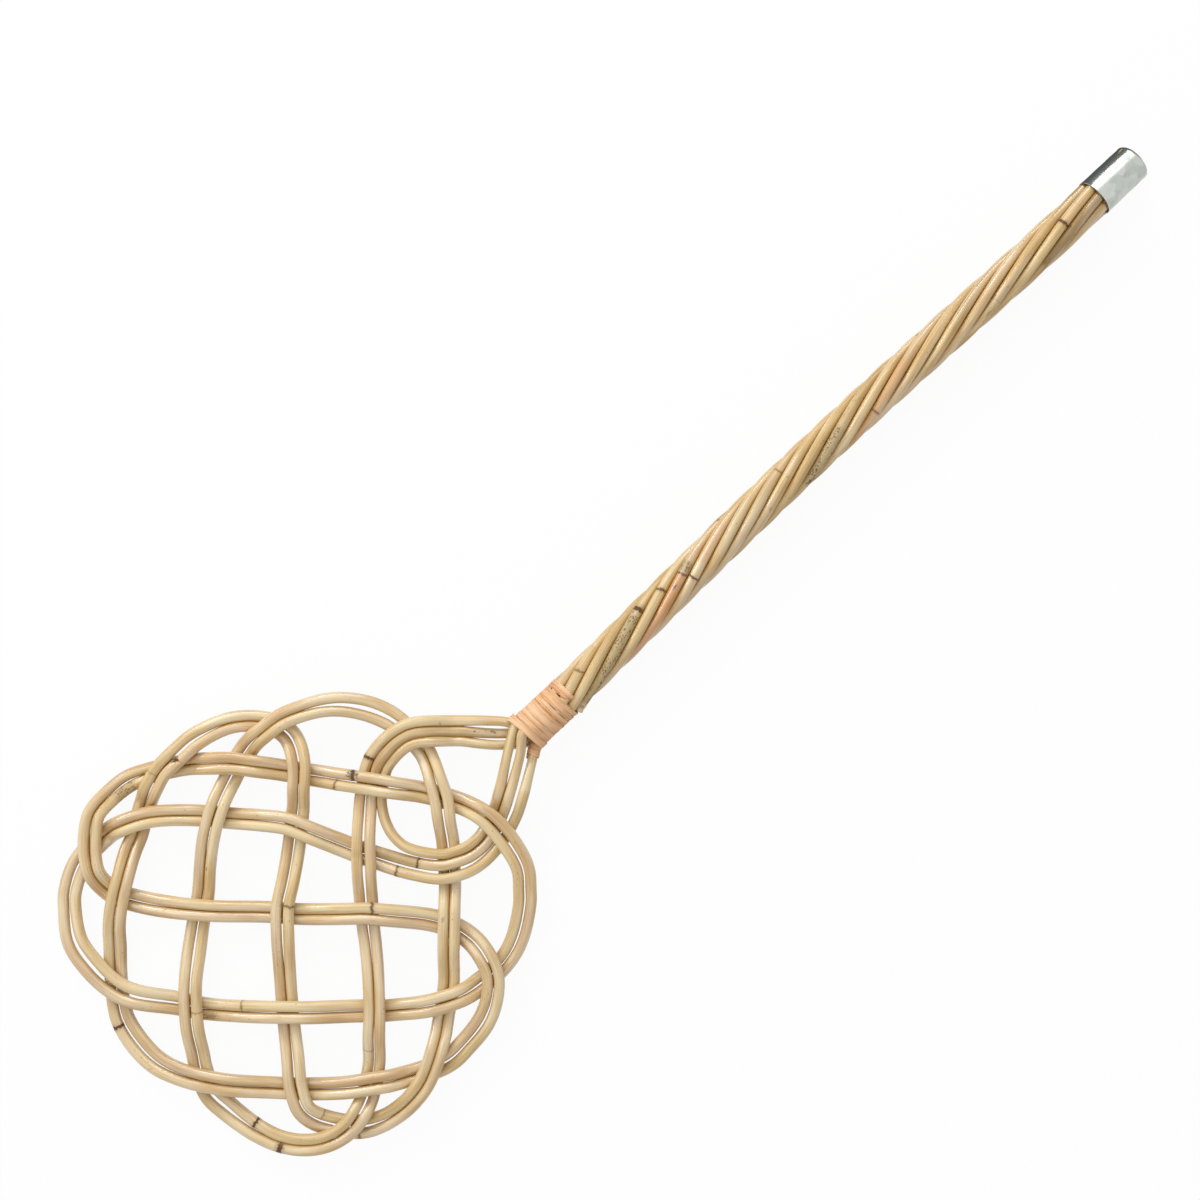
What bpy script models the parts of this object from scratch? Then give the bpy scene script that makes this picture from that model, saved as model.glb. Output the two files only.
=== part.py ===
"""Rattan carpet beater: a woven head of long canes, a twisted handle, a wound binding and a metal end cap.

The beater lies flat. Its handle runs along +Y towards the cap, +X is to the right and +Z is up.
The origin is on the surface that it lies on, under the middle of the whole beater.

Two long canes lie side by side and follow one route through the knot, over and under by turns. A third,
shorter cane makes the small tear-shaped loop. All six ends meet at the binding and go on as the handle,
where they and two filler canes lie in a left-handed twist around a straight core.
"""

import math

import bpy
import numpy as np

# Driving sizes of the beater, in metres.
HEAD_LENGTH = 0.3036
HANDLE_LENGTH = 0.5046
CANE_DIAMETER = 0.0062
SEAM_GAP = 0.0003
CROSSING_GAP = 0.0006
LAY_LENGTH = 0.1815
HANDLE_BOW = 0.0038

# Sizes of the wound binding and its flat strip, and how far in its mouth the core begins.
STRIP_WIDTH = 0.0033
STRIP_THICKNESS = 0.0008
STRIP_TURN_GAP = 0.0005
BINDING_CLEARANCE = 0.0003
MOUTH_FLARE = 0.0012
TAIL_REACH = 0.0028
CORE_SETBACK = 0.0033

# Sizes of the metal end cap.
CAP_LENGTH = 0.0335
CAP_WALL = 0.0005
CAP_CLEARANCE = 0.0003
CAP_TAPER = 0.0003
CAP_EDGE_RADIUS = 0.0030
CAP_END_CLEARANCE = 0.0010

# Sizes of the filler canes and of the joint in the spliced cane.
FILLER_STUB_REACH = 0.0026
FILLER_STUB_LIFT = 0.0008
FILLER_STUB_RUN = 0.0120
SPLICE_GAP = 0.0003

# How finely the canes are drawn.
FINE_STEP = 0.0008
CHORD_ERROR = 0.00028
LONGEST_STEP = 0.0150
HANDLE_STEP = 0.0120
CORE_STEP = 0.0240
MERGE_DISTANCE = 0.00001
CANE_BEVEL_RESOLUTION = 2
BINDING_SEGMENTS = 24
CAP_SEGMENTS = 32
CAP_EDGE_STEPS = 4

# Counts, angles and shares.
CANES_IN_HANDLE = 8
CANES_IN_MOUTH = 7
BINDING_TURNS = 8
MOUTH_ANGLE = math.radians(90)
STRIP_START_ANGLE = math.radians(-100)
STRIP_TAIL_ANGLE = math.radians(20)
TAIL_EASE_SHARE = 0.75
MOUTH_TWIST_SHARE = 0.445
TWIST_GROWTH_SHARE = 1.22
CAP_EASE_SHARE = 0.62
CAP_EASE_POWER = 8
CROSSING_MARGIN_SHARE = 0.45
LOOP_BESIDE_PAIR_SHARE = 0.25

# Places read from a picture of the beater, in its pixels. The head's length fixes their scale.
HEAD_LENGTH_PX = 506.0
MOUTH_PX = (525.0, 735.0)
CAP_END_PX = (1137.0, 158.0)
SPLICE_PX = (178.0, 764.0)

# The route of the pair of long canes: x, y of its middle and the daylight between the two canes.
NECK_DOWN_PX = [(517.5, 790, 4.5), (509.5, 815, 4.3), (493, 845, 1)]
INNER_ARC_PX = [(475, 861, 3), (458, 868, 5), (441, 871.5, 4.5), (415, 868.5, 3.5), (396, 864.5, 3.5),
                (379, 859.5, 2.5)]
ROW_2_PX = [(351, 850, 2), (307, 830.5, 1.5), (285, 822.5, 1.5), (230, 819, 0), (201, 816.5, 0),
            (163, 815.5, 0), (143, 818.5, 0), (115, 829, 0), (104, 836.5, 0)]
LEFT_LOBE_PX = [(78.5, 863.5, 3), (69, 892, 2.5), (69, 906, 2), (75.5, 940.5, 6), (93.5, 965.5, 7),
                (113.5, 984.5, 5.5), (131.5, 994, 5.5), (179, 1005, 3.5)]
ROW_4_PX = [(210, 1010.5, 1), (274, 1011, 1.5), (361, 1012, 1.5), (387, 1011.5, 0.5), (433, 1003.5, 2),
            (460, 995, 1.5), (479, 985, 3)]
RIGHT_LOBE_PX = [(504.5, 961.5, 1.5), (517, 938.5, 2.5), (524.5, 903, 2.5), (524.5, 889, 2.5),
                 (523.5, 871, 2.5), (518, 856.5, 3), (499.5, 830, 3.5), (481.5, 813.5, 1),
                 (455.5, 802.5, 0.5)]
ROW_1_PX = [(425, 793.5, 0), (388, 786.5, 2), (357, 781.5, 2), (336, 779, 1.5), (313, 776, 1.5),
            (286, 771.5, 0.5), (258, 766.5, 0.5), (230, 763, 1), (201, 764, 1), (184.5, 765.5, 0),
            (145.5, 774.5, 0)]
UPPER_LEFT_LOBE_PX = [(127, 782, 2), (110, 796, 1), (95.5, 813.5, 0.5), (91.5, 835.5, 2), (92, 857, 1.5),
                      (96.5, 876, 0), (109, 892, 0)]
ROW_3_PX = [(134, 901.5, 2), (191, 908.5, 0.5), (268, 913, 0), (298, 915, 0), (365, 912.5, 0.5),
            (384, 914, 1.5), (437, 922.5, 2), (461, 933, 2)]
LOWER_RIGHT_LOBE_PX = [(480.5, 949, 3), (492.5, 973, 1.5), (492, 997, 1.5), (483.5, 1020.5, 3),
                       (465.5, 1044.5, 2.5), (448, 1061.5, 3)]
ROW_5_PX = [(414, 1075.5, 1), (376, 1081.5, 2), (345, 1086.5, 2), (317, 1090, 1.5), (282, 1089.5, 0.5),
            (231, 1084, 1.5), (198, 1078, 1.5)]
LOWER_LEFT_LOBE_PX = [(179, 1072, 2), (157, 1061.5, 3.5), (138, 1044.5, 4.5), (123, 1023.5, 3.5),
                      (117.5, 1006, 2.5)]
COLUMN_0_PX = [(114, 968, 1.5), (114.5, 945, 2), (115, 927, 1.5), (119, 899, 1), (123.5, 880, 0.5),
               (130, 851, 1), (136, 835.5, 0), (144, 805, 1), (152, 789, 2.5), (162.5, 770.5, 1.5)]
TOP_LEFT_LOBE_PX = [(177, 756, 3.5), (195, 740, 3.5), (223, 725.5, 0.5), (244, 721.5, 0), (266, 723.5, 1),
                    (284.5, 732, 3), (294.5, 745, 3.5), (299.5, 761, 3)]
COLUMN_2_PX = [(300, 774, 1.5), (298, 803, 1.5), (296.5, 815, 2.5), (293, 847, 2.5), (288.5, 880, 2.5),
               (283.5, 906, 2.5), (283.5, 936, 2.5), (284.5, 976, 0.5), (285.5, 997, 0.5), (288.5, 1029, 1),
               (293.5, 1060, 2.5), (297, 1087, 3)]
LOWER_RIGHT_CORNER_PX = [(304.5, 1108.5, 2.5), (317, 1120, 4), (330, 1125, 4), (348, 1128, 4),
                         (365, 1127.5, 4), (380.5, 1122.5, 2), (393.5, 1115, 0.5), (410, 1100.5, 0),
                         (426, 1078.5, 0)]
COLUMN_4_PX = [(440, 1037, 0), (443, 1018, 0), (448, 986, 0), (448.5, 955, 0.5), (449, 934, 1),
               (449.5, 903, 0.5), (449.5, 886, 0.5), (447.5, 845, 2.5), (444.5, 822, 2.5), (441.5, 799, 3.5),
               (435.5, 779, 1.5), (429, 762, 0), (422, 749.5, 1)]
TOP_LOBE_PX = [(395.5, 723, 5), (372.5, 711, 7), (345.5, 705, 5.5), (324.5, 705.5, 3), (302.5, 711, 0.5),
               (281.5, 719.5, 0), (266, 731, 0), (246.5, 748.5, 2.5)]
COLUMN_1_PX = [(228.5, 781, 2.5), (221, 799, 2.5), (214.5, 818, 2), (209, 841, 1.5), (204.5, 870, 0.5),
               (202, 895, 1.5), (196.5, 928, 2.5), (193.5, 955, 4), (191.5, 980, 2.5), (191.5, 1001, 2.5),
               (193.5, 1029, 2.5), (196.5, 1052, 2.5), (200, 1072, 3)]
BOTTOM_LOBE_PX = [(210.5, 1095.5, 5.5), (225, 1108.5, 6), (240, 1120, 4), (257.5, 1131, 2), (278.5, 1140, 0),
                  (301, 1143.5, 0), (321.5, 1141.5, 0), (338.5, 1134.5, 1), (351, 1124.5, 1.5),
                  (360, 1112, 3), (366, 1100, 3)]
COLUMN_3_PX = [(373, 1067, 1.5), (374, 1039, 1.5), (375, 1010, 0), (373.5, 976, 0.5), (370, 945, 1.5),
               (367.5, 928, 2.5), (365, 897, 3.5), (364.5, 870, 4.5), (364, 841, 3.5), (364.5, 813, 2.5),
               (365, 798, 1.5)]
NECK_LEFT_PX = [(371.5, 765, 0.5), (380, 751.5, 1), (395.5, 736.5, 0), (412.5, 728, 0), (460, 726.5, 0)]
PAIR_ROUTE_PX = (NECK_DOWN_PX + INNER_ARC_PX + ROW_2_PX + LEFT_LOBE_PX + ROW_4_PX + RIGHT_LOBE_PX + ROW_1_PX
                 + UPPER_LEFT_LOBE_PX + ROW_3_PX + LOWER_RIGHT_LOBE_PX + ROW_5_PX + LOWER_LEFT_LOBE_PX
                 + COLUMN_0_PX + TOP_LEFT_LOBE_PX + COLUMN_2_PX + LOWER_RIGHT_CORNER_PX + COLUMN_4_PX
                 + TOP_LOBE_PX + COLUMN_1_PX + BOTTOM_LOBE_PX + COLUMN_3_PX + NECK_LEFT_PX)

# The short cane lies beside the pair at both its ends and turns on its own between these places.
LOOP_LEAVES_PX = (441.0, 871.5)
LOOP_JOINS_PX = (365.0, 798.0)
LOOP_TURN_PX = [(407, 847, 0), (393, 836, 0), (385, 822, 0), (381.5, 809, 0)]

# Each end passes one place between head and binding. It is set off from the middle one of its three:
# across and along in shares of the pair's spacing, and up in shares of a crossing's rise.
NECK_DOWN_PLACE_PX = (520.5, 752)
NECK_LEFT_PLACE_PX = (500, 734.3)
NECK_SHARES = {
    "outer_down": (NECK_DOWN_PLACE_PX, 1.38, 0.07, 0.5),
    "inner_down": (NECK_DOWN_PLACE_PX, 0, 0, 1.5),
    "loop_down": (NECK_DOWN_PLACE_PX, -0.92, -0.70, 1.3),
    "outer_left": (NECK_LEFT_PLACE_PX, -0.49, 1.12, -0.7),
    "inner_left": (NECK_LEFT_PLACE_PX, 0, 0, -1.7),
    "loop_left": (NECK_LEFT_PLACE_PX, 0.65, -0.87, -1.3),
}

# The order of the canes around the handle, counted from the one at the beater's right-hand side.
HANDLE_ORDER = {"outer_down": 0, "inner_down": 2, "loop_down": 3, "outer_left": 4, "inner_left": 5,
                "loop_left": 6}
INNER_FILLER_ORDER = 1
STUB_FILLER_ORDER = 7

COLOURS = {
    "long_cane_outer": ((0.74, 0.55, 0.30, 1.0), 0.45, 0.0),
    "long_cane_inner_first": ((0.70, 0.50, 0.27, 1.0), 0.45, 0.0),
    "long_cane_inner_second": ((0.67, 0.47, 0.25, 1.0), 0.45, 0.0),
    "loop_cane": ((0.76, 0.57, 0.33, 1.0), 0.45, 0.0),
    "filler_cane_stub": ((0.52, 0.41, 0.24, 1.0), 0.50, 0.0),
    "filler_cane_hidden": ((0.70, 0.52, 0.29, 1.0), 0.45, 0.0),
    "core_cane": ((0.60, 0.44, 0.25, 1.0), 0.60, 0.0),
    "binding_strip": ((0.78, 0.46, 0.26, 1.0), 0.55, 0.0),
    "end_cap": ((0.60, 0.62, 0.63, 1.0), 0.35, 1.0),
}

# Sizes worked out from the driving ones.
METRES_PER_PIXEL = HEAD_LENGTH / HEAD_LENGTH_PX
CANE_RADIUS = CANE_DIAMETER / 2
PAIR_SPACING = CANE_DIAMETER + SEAM_GAP
CROSSING_RISE = (CANE_DIAMETER + CROSSING_GAP) / 2
RING_RADIUS_STRAIGHT = PAIR_SPACING / 2 / math.sin(math.pi / CANES_IN_HANDLE)
TWIST_SLOPE = 2 * math.pi * RING_RADIUS_STRAIGHT / LAY_LENGTH
RING_RADIUS = RING_RADIUS_STRAIGHT * math.hypot(1, TWIST_SLOPE)
BUNDLE_RADIUS = RING_RADIUS + CANE_RADIUS
CORE_RADIUS = RING_RADIUS_STRAIGHT - CANE_RADIUS - SEAM_GAP
BINDING_INNER_RADIUS = (BUNDLE_RADIUS + BINDING_CLEARANCE) / math.cos(math.pi / BINDING_SEGMENTS)
BINDING_OUTER_RADIUS = BINDING_INNER_RADIUS + STRIP_THICKNESS
LEVEL_TURNS = BINDING_TURNS - 1 - STRIP_START_ANGLE / (2 * math.pi)
STRIP_PITCH = STRIP_WIDTH + STRIP_TURN_GAP
BINDING_LENGTH = STRIP_WIDTH + STRIP_PITCH * LEVEL_TURNS
CAP_INNER_RADIUS = BUNDLE_RADIUS + CAP_CLEARANCE
CAP_RADIUS = CAP_INNER_RADIUS + CAP_WALL
AXIS_HEIGHT = max(BINDING_OUTER_RADIUS, CAP_RADIUS + CAP_TAPER)
HEAD_EDGE_HEIGHT = CROSSING_RISE + CANE_RADIUS
CAP_START = HANDLE_LENGTH - CAP_LENGTH
CANE_END = HANDLE_LENGTH - CAP_WALL - CAP_END_CLEARANCE


def eased(share):
    """Goes from 0 to 1 with a level start and a level end, as its share does evenly."""
    share = np.clip(share, 0, 1)
    return share * share * (3 - 2 * share)


def to_plan(route_px):
    """Turns picture pixels into metres across and along the handle, measured from the binding's mouth."""
    route = np.array(route_px, float)
    along = np.subtract(CAP_END_PX, MOUTH_PX)
    along = along / np.hypot(*along)
    across = np.array((-along[1], along[0]))
    offset = route[:, :2] - MOUTH_PX
    return np.column_stack((offset @ across, offset @ along, route[:, 2:])) * METRES_PER_PIXEL


def smooth_curve(places, step):
    """Centripetal Catmull-Rom curve through the places, sampled about one step apart."""
    ends = (2 * places[0] - places[1], 2 * places[-1] - places[-2])
    points = np.vstack((ends[0], places, ends[1]))
    pieces = []
    for first, start, stop, last in zip(points[:-3], points[1:-2], points[2:-1], points[3:]):
        span = np.linalg.norm((stop - start)[:3])
        t0 = 0.0
        t1 = t0 + math.sqrt(np.linalg.norm((start - first)[:3]))
        t2 = t1 + math.sqrt(span)
        t3 = t2 + math.sqrt(np.linalg.norm((last - stop)[:3]))
        t = np.linspace(t1, t2, max(2, math.ceil(span / step) + 1))[:-1, None]
        a1 = ((t1 - t) * first + (t - t0) * start) / (t1 - t0)
        a2 = ((t2 - t) * start + (t - t1) * stop) / (t2 - t1)
        a3 = ((t3 - t) * stop + (t - t2) * last) / (t3 - t2)
        b1 = ((t2 - t) * a1 + (t - t0) * a2) / (t2 - t0)
        b2 = ((t3 - t) * a2 + (t - t1) * a3) / (t3 - t1)
        pieces.append(((t2 - t) * b1 + (t - t1) * b2) / (t2 - t1))
    return np.vstack(pieces + [places[-1:]])


def run_lengths(points):
    """Distance along a line of points, from its start to each point."""
    return np.concatenate(((0.0,), np.cumsum(np.linalg.norm(np.diff(points, axis=0), axis=1))))


def plan_crossings(first, second, same):
    """Where two plan curves cross: distance along each and the sine and cosine of the angle there."""
    first_steps, second_steps = np.diff(first, axis=0), np.diff(second, axis=0)
    between = second[None, :-1] - first[:-1, None]
    first_x, first_y = first_steps.T[:, :, None]
    second_x, second_y = second_steps.T[:, None, :]
    turn = first_x * second_y - first_y * second_x
    turn[turn == 0] = np.nan
    share = (between[..., 0] * second_y - between[..., 1] * second_x) / turn
    other_share = (between[..., 0] * first_y - between[..., 1] * first_x) / turn
    rows, columns = np.nonzero((share >= 0) & (share < 1) & (other_share >= 0) & (other_share < 1))
    if same:
        apart = columns > rows + 2
        rows, columns = rows[apart], columns[apart]
    first_lengths = np.linalg.norm(first_steps, axis=1)[rows]
    second_lengths = np.linalg.norm(second_steps, axis=1)[columns]
    along_first = run_lengths(first)[rows] + share[rows, columns] * first_lengths
    along_second = run_lengths(second)[columns] + other_share[rows, columns] * second_lengths
    sines = np.abs(turn[rows, columns]) / (first_lengths * second_lengths)
    return list(zip(along_first, along_second, sines, np.sqrt(np.maximum(0, 1 - sines ** 2))))


def weave_heights(distance, visits):
    """Height along a route that goes level over or under each visit and eases from one to the next."""
    merged = []
    for start, stop, side in sorted(visits):
        if merged and merged[-1][2] == side:
            merged[-1][1] = max(merged[-1][1], stop)
            continue
        if merged and merged[-1][1] > start - CANE_RADIUS:
            middle = (merged[-1][1] + start) / 2
            merged[-1][1], start = middle - CANE_RADIUS / 2, middle + CANE_RADIUS / 2
        merged.append([start, stop, side])
    knots, sides = [], []
    for start, stop, side in merged:
        knots += [start, stop]
        sides += [side, side]
    knots, sides = np.array(knots), np.array(sides, float)
    piece = np.clip(np.searchsorted(knots, distance) - 1, 0, len(knots) - 2)
    share = (distance - knots[piece]) / (knots[piece + 1] - knots[piece])
    return CROSSING_RISE * (sides[piece] + (sides[piece + 1] - sides[piece]) * eased(share))


def leftward(plan):
    """Unit vectors to the left of travel along a plan curve."""
    travel = np.gradient(plan, axis=0)
    travel /= np.linalg.norm(travel, axis=1)[:, None]
    return np.column_stack((-travel[:, 1], travel[:, 0]))


def loop_route(plan, half_pair):
    """Plan of the short cane: beside the pair's right-hand cane at both ends, on its own round the loop."""
    beside = plan - leftward(plan) * (half_pair + PAIR_SPACING)[:, None]
    leaves, joins = to_plan([LOOP_LEAVES_PX, LOOP_JOINS_PX])
    searched = round(LOOP_BESIDE_PAIR_SHARE * len(plan))
    leave = np.linalg.norm(plan[:searched] - leaves, axis=1).argmin()
    join = len(plan) - searched + np.linalg.norm(plan[-searched:] - joins, axis=1).argmin()
    stride = round(CANE_DIAMETER / FINE_STEP)
    turn = to_plan(LOOP_TURN_PX)[:, :2]
    return smooth_curve(np.vstack((beside[:leave:stride], turn, beside[join::stride], beside[-1:])), FINE_STEP)


def crossing_visits(guide, loop_plan):
    """Stretches of the pair's route and the loop's where each goes over (1) or under (-1) what it meets."""
    plan = guide[:, :2]
    distance, loop_end = run_lengths(plan), run_lengths(loop_plan)[-1]
    half_pair = (PAIR_SPACING + guide[:, 2]) / 2
    margin = CROSSING_MARGIN_SHARE * CANE_DIAMETER

    def half_length(own_half, other_half, sine, cosine):
        return (other_half + own_half * cosine) / sine + margin

    meetings = []
    for near, far, sine, cosine in plan_crossings(plan, plan, True):
        half_near, half_far = np.interp((near, far), distance, half_pair)
        meetings.append((near, half_length(half_near, half_far, sine, cosine)))
        meetings.append((far, half_length(half_far, half_near, sine, cosine)))
    visits = [(0, margin, 1), (distance[-1] - margin, distance[-1], -1)]
    for number, (place, half) in enumerate(sorted(meetings)):
        side = 1 if number % 2 else -1
        visits.append((place - half, place + half, side))
    loop_visits = [(0, margin, 1), (loop_end - margin, loop_end, -1)]
    loop_meetings = sorted(plan_crossings(loop_plan, plan, False))
    for number, (own, other, sine, cosine) in enumerate(loop_meetings):
        side = 1 if number % 2 else -1
        half_other = np.interp(other, distance, half_pair)
        half = half_length(0, half_other, sine, cosine)
        loop_visits.append((own - half, own + half, side))
        half = half_length(half_other, 0, sine, cosine)
        visits.append((other - half, other + half, -side))
    print("the pair's visits to its own crossings:", len(meetings), "and the loop's:", len(loop_meetings))
    return visits, loop_visits


def head_canes():
    """Both long canes and the loop cane in the head: plan place and height over the head's middle plane."""
    guide = smooth_curve(to_plan(PAIR_ROUTE_PX), FINE_STEP)
    plan = guide[:, :2]
    half_pair = (PAIR_SPACING + guide[:, 2]) / 2
    loop_plan = loop_route(plan, half_pair)
    visits, loop_visits = crossing_visits(guide, loop_plan)
    heights = weave_heights(run_lengths(plan), visits)
    loop_heights = weave_heights(run_lengths(loop_plan), loop_visits)
    offset = leftward(plan) * half_pair[:, None]
    outer = np.column_stack((plan + offset, heights))
    inner = np.column_stack((plan - offset, heights))
    return outer, inner, np.column_stack((loop_plan, loop_heights))


def head_plane(along):
    """Height of the head's middle plane: it slopes from the handle's axis down to the head's far edge."""
    share = np.clip(-along / HEAD_LENGTH, 0, 1)
    return AXIS_HEIGHT + (HEAD_EDGE_HEIGHT - AXIS_HEIGHT) * share


def handle_twist(along):
    """Angle that the handle's canes have turned through, from the binding's mouth to a place along it."""
    fine = np.linspace(0, HANDLE_LENGTH, round(HANDLE_LENGTH / FINE_STEP) + 1)
    growth = np.clip(fine / (BINDING_LENGTH * TWIST_GROWTH_SHARE), 0, 1)
    rate = MOUTH_TWIST_SHARE + (1 - MOUTH_TWIST_SHARE) * growth
    rate *= 1 - CAP_EASE_SHARE * np.clip(fine / CAP_START, 0, 1) ** CAP_EASE_POWER
    turned = np.concatenate(((0.0,), np.cumsum((rate[1:] + rate[:-1]) / 2 * np.diff(fine))))
    return np.interp(along, fine, turned) * 2 * math.pi / LAY_LENGTH


def handle_centre(along):
    """Sideways place of the handle's axis, which bows a little between the binding and the cap."""
    share = np.clip(along / CAP_START, 0, 1)
    return -HANDLE_BOW * (4 * share * (1 - share)) ** 2


def handle_cane(order, start, lift=0.0):
    """Centre line of one cane of the handle, from a place along it up to the cane's end in the cap."""
    count = math.ceil((CANE_END - start) / HANDLE_STEP)
    along = np.linspace(start, CANE_END, count + 1)
    pitch_mouth = 2 * math.pi / CANES_IN_MOUTH
    pitch_handle = 2 * math.pi / CANES_IN_HANDLE
    pitch = pitch_mouth + (pitch_handle - pitch_mouth) * eased(along / BINDING_LENGTH)
    angle = MOUTH_ANGLE - handle_twist(along) - order * pitch
    straight = eased((along - CAP_START) / CAP_LENGTH + 1)
    radius = RING_RADIUS + (RING_RADIUS_STRAIGHT - RING_RADIUS) * straight
    radius = radius + lift * np.clip(1 - (along - start) / FILLER_STUB_RUN, 0, 1) ** 2
    return np.column_stack((handle_centre(along) + radius * np.sin(angle), along,
                            AXIS_HEIGHT + radius * np.cos(angle)))


def neck_place(end):
    """The place between head and binding that one cane end passes."""
    middle_px, across_share, along_share, rise_share = NECK_SHARES[end]
    across, along = to_plan([middle_px])[0]
    across, along = across + across_share * PAIR_SPACING, along + along_share * PAIR_SPACING
    return np.array(((across, along, head_plane(along) + rise_share * CROSSING_RISE),))


def whole_cane(head_part, first_end, last_end):
    """A cane from cap to cap: handle, neck, head, neck and handle again, as one smooth line."""
    head = np.column_stack((head_part[:, :2], head_plane(head_part[:, 1]) + head_part[:, 2]))
    pieces = (handle_cane(HANDLE_ORDER[first_end], 0)[::-1], neck_place(first_end), head,
              neck_place(last_end), handle_cane(HANDLE_ORDER[last_end], 0))
    return smooth_curve(np.vstack(pieces), FINE_STEP)


def cut_at_splice(points):
    """Parts the inner long cane in two where it is spliced, with a small gap between the ends.

    The cane crosses itself there. The splice is in the pass on top, so a point's height counts for it.
    """
    splice = to_plan([SPLICE_PX])[0]
    distance = run_lengths(points)
    place = distance[(np.linalg.norm(points[:, :2] - splice, axis=1) - points[:, 2]).argmin()]
    end, start = place - SPLICE_GAP / 2, place + SPLICE_GAP / 2
    cuts = np.column_stack([np.interp((end, start), distance, points[:, axis]) for axis in range(3)])
    return (np.vstack((points[distance < end - FINE_STEP / 2], cuts[0])),
            np.vstack((cuts[1], points[distance > start + FINE_STEP / 2])))


def cane_lines():
    """The centre line of every cane but the core, by the cane's name."""
    outer_head, inner_head, loop_head = head_canes()
    inner_first, inner_second = cut_at_splice(whole_cane(inner_head, "inner_down", "inner_left"))
    stub = handle_cane(STUB_FILLER_ORDER, BINDING_LENGTH + FILLER_STUB_REACH, FILLER_STUB_LIFT)
    return {
        "long_cane_outer": whole_cane(outer_head, "outer_down", "outer_left"),
        "long_cane_inner_first": inner_first,
        "long_cane_inner_second": inner_second,
        "loop_cane": whole_cane(loop_head, "loop_down", "loop_left"),
        "filler_cane_stub": smooth_curve(stub, FINE_STEP),
        "filler_cane_hidden": smooth_curve(handle_cane(INNER_FILLER_ORDER, CORE_SETBACK), FINE_STEP),
    }


def needed_points(points):
    """Keeps the points of a fine line that straight steps need to stay within the chord error.

    The first and the last fine step stay, so that both ends are square to the line.
    """
    kept = [0, 1]
    while kept[-1] < len(points) - 2:
        start = kept[-1]
        stop = start + 1
        while stop < len(points) - 2:
            chord = points[stop + 1] - points[start]
            length = np.linalg.norm(chord)
            between = points[start + 1:stop + 1] - points[start]
            off = np.linalg.norm(np.cross(between, chord / length), axis=1).max()
            if off > CHORD_ERROR or length > LONGEST_STEP:
                break
            stop += 1
        kept.append(stop)
    return points[kept + [-1]]


def material(name):
    """A Principled material in the sub-part's own colour."""
    colour, roughness, metallic = COLOURS[name]
    made = bpy.data.materials.new(name)
    made.use_nodes = True
    shader = made.node_tree.nodes["Principled BSDF"]
    shader.inputs["Base Color"].default_value = colour
    shader.inputs["Roughness"].default_value = roughness
    shader.inputs["Metallic"].default_value = metallic
    made.diffuse_color = colour
    return made


def add_object(name, data, collection):
    """Puts a named object with its material into the collection."""
    made = bpy.data.objects.new(name, data)
    data.materials.append(material(name))
    collection.objects.link(made)
    return made


def line_curve(name, points):
    """A curve of straight steps through the points, with closed ends."""
    curve = bpy.data.curves.new(name, "CURVE")
    curve.dimensions = "3D"
    curve.use_fill_caps = True
    spline = curve.splines.new("POLY")
    spline.points.add(len(points) - 1)
    spline.points.foreach_set("co", np.column_stack((points, np.ones(len(points)))).ravel())
    return curve


def make_cane(name, points, radius, collection):
    """A round cane along a line of points."""
    curve = line_curve(name, points)
    curve.bevel_depth = radius
    curve.bevel_resolution = CANE_BEVEL_RESOLUTION
    return add_object(name, curve, collection)


def strip_path():
    """The strip's centre line around +Z: level turns around the bundle, then a tail over the top."""
    last_angle = 2 * math.pi * BINDING_TURNS + STRIP_TAIL_ANGLE
    steps = round((last_angle - STRIP_START_ANGLE) / (2 * math.pi) * BINDING_SEGMENTS)
    angle = np.linspace(STRIP_START_ANGLE, last_angle, steps + 1)
    turn = (angle - STRIP_START_ANGLE) / (2 * math.pi)
    tail = eased((turn - LEVEL_TURNS - 1) / TAIL_EASE_SHARE + 1)
    along = STRIP_WIDTH / 2 + STRIP_PITCH * turn + TAIL_REACH * tail
    flare = MOUTH_FLARE * np.clip(1 - turn / 2, 0, 1) ** 2 * np.sin(angle) ** 2
    radius = BINDING_INNER_RADIUS + STRIP_THICKNESS / 2 + flare
    return np.column_stack((handle_centre(along) + radius * np.sin(angle), -radius * np.cos(angle), along))


def make_binding(collection, guides):
    """The binding: one flat strip wound around the bundle, square to the handle's axis."""
    path = strip_path()
    gap = (path[BINDING_SEGMENTS:, 2] - path[:-BINDING_SEGMENTS, 2]).min() - STRIP_WIDTH
    print(f"binding strip: least gap to itself {gap * 1000:.2f} mm")
    across, through = STRIP_WIDTH / 2, STRIP_THICKNESS / 2
    corners = ((-through, -across, 0), (-through, across, 0), (through, across, 0), (through, -across, 0))
    section = line_curve("strip_section", corners)
    section.splines[0].use_cyclic_u = True
    guide = bpy.data.objects.new("strip_section", section)
    guide.hide_render = True
    guide.display_type = "WIRE"
    guides.objects.link(guide)
    curve = line_curve("binding_strip", path)
    curve.twist_mode = "Z_UP"
    curve.bevel_mode = "OBJECT"
    curve.bevel_object = guide
    return lay_along_handle(add_object("binding_strip", curve, collection))


def lay_along_handle(made):
    """Turns what was made around +Z to lie around the handle's axis, with +Z along the handle."""
    made.location = (0, 0, AXIS_HEIGHT)
    made.rotation_euler = (math.radians(-90), 0, 0)
    return made


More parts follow.
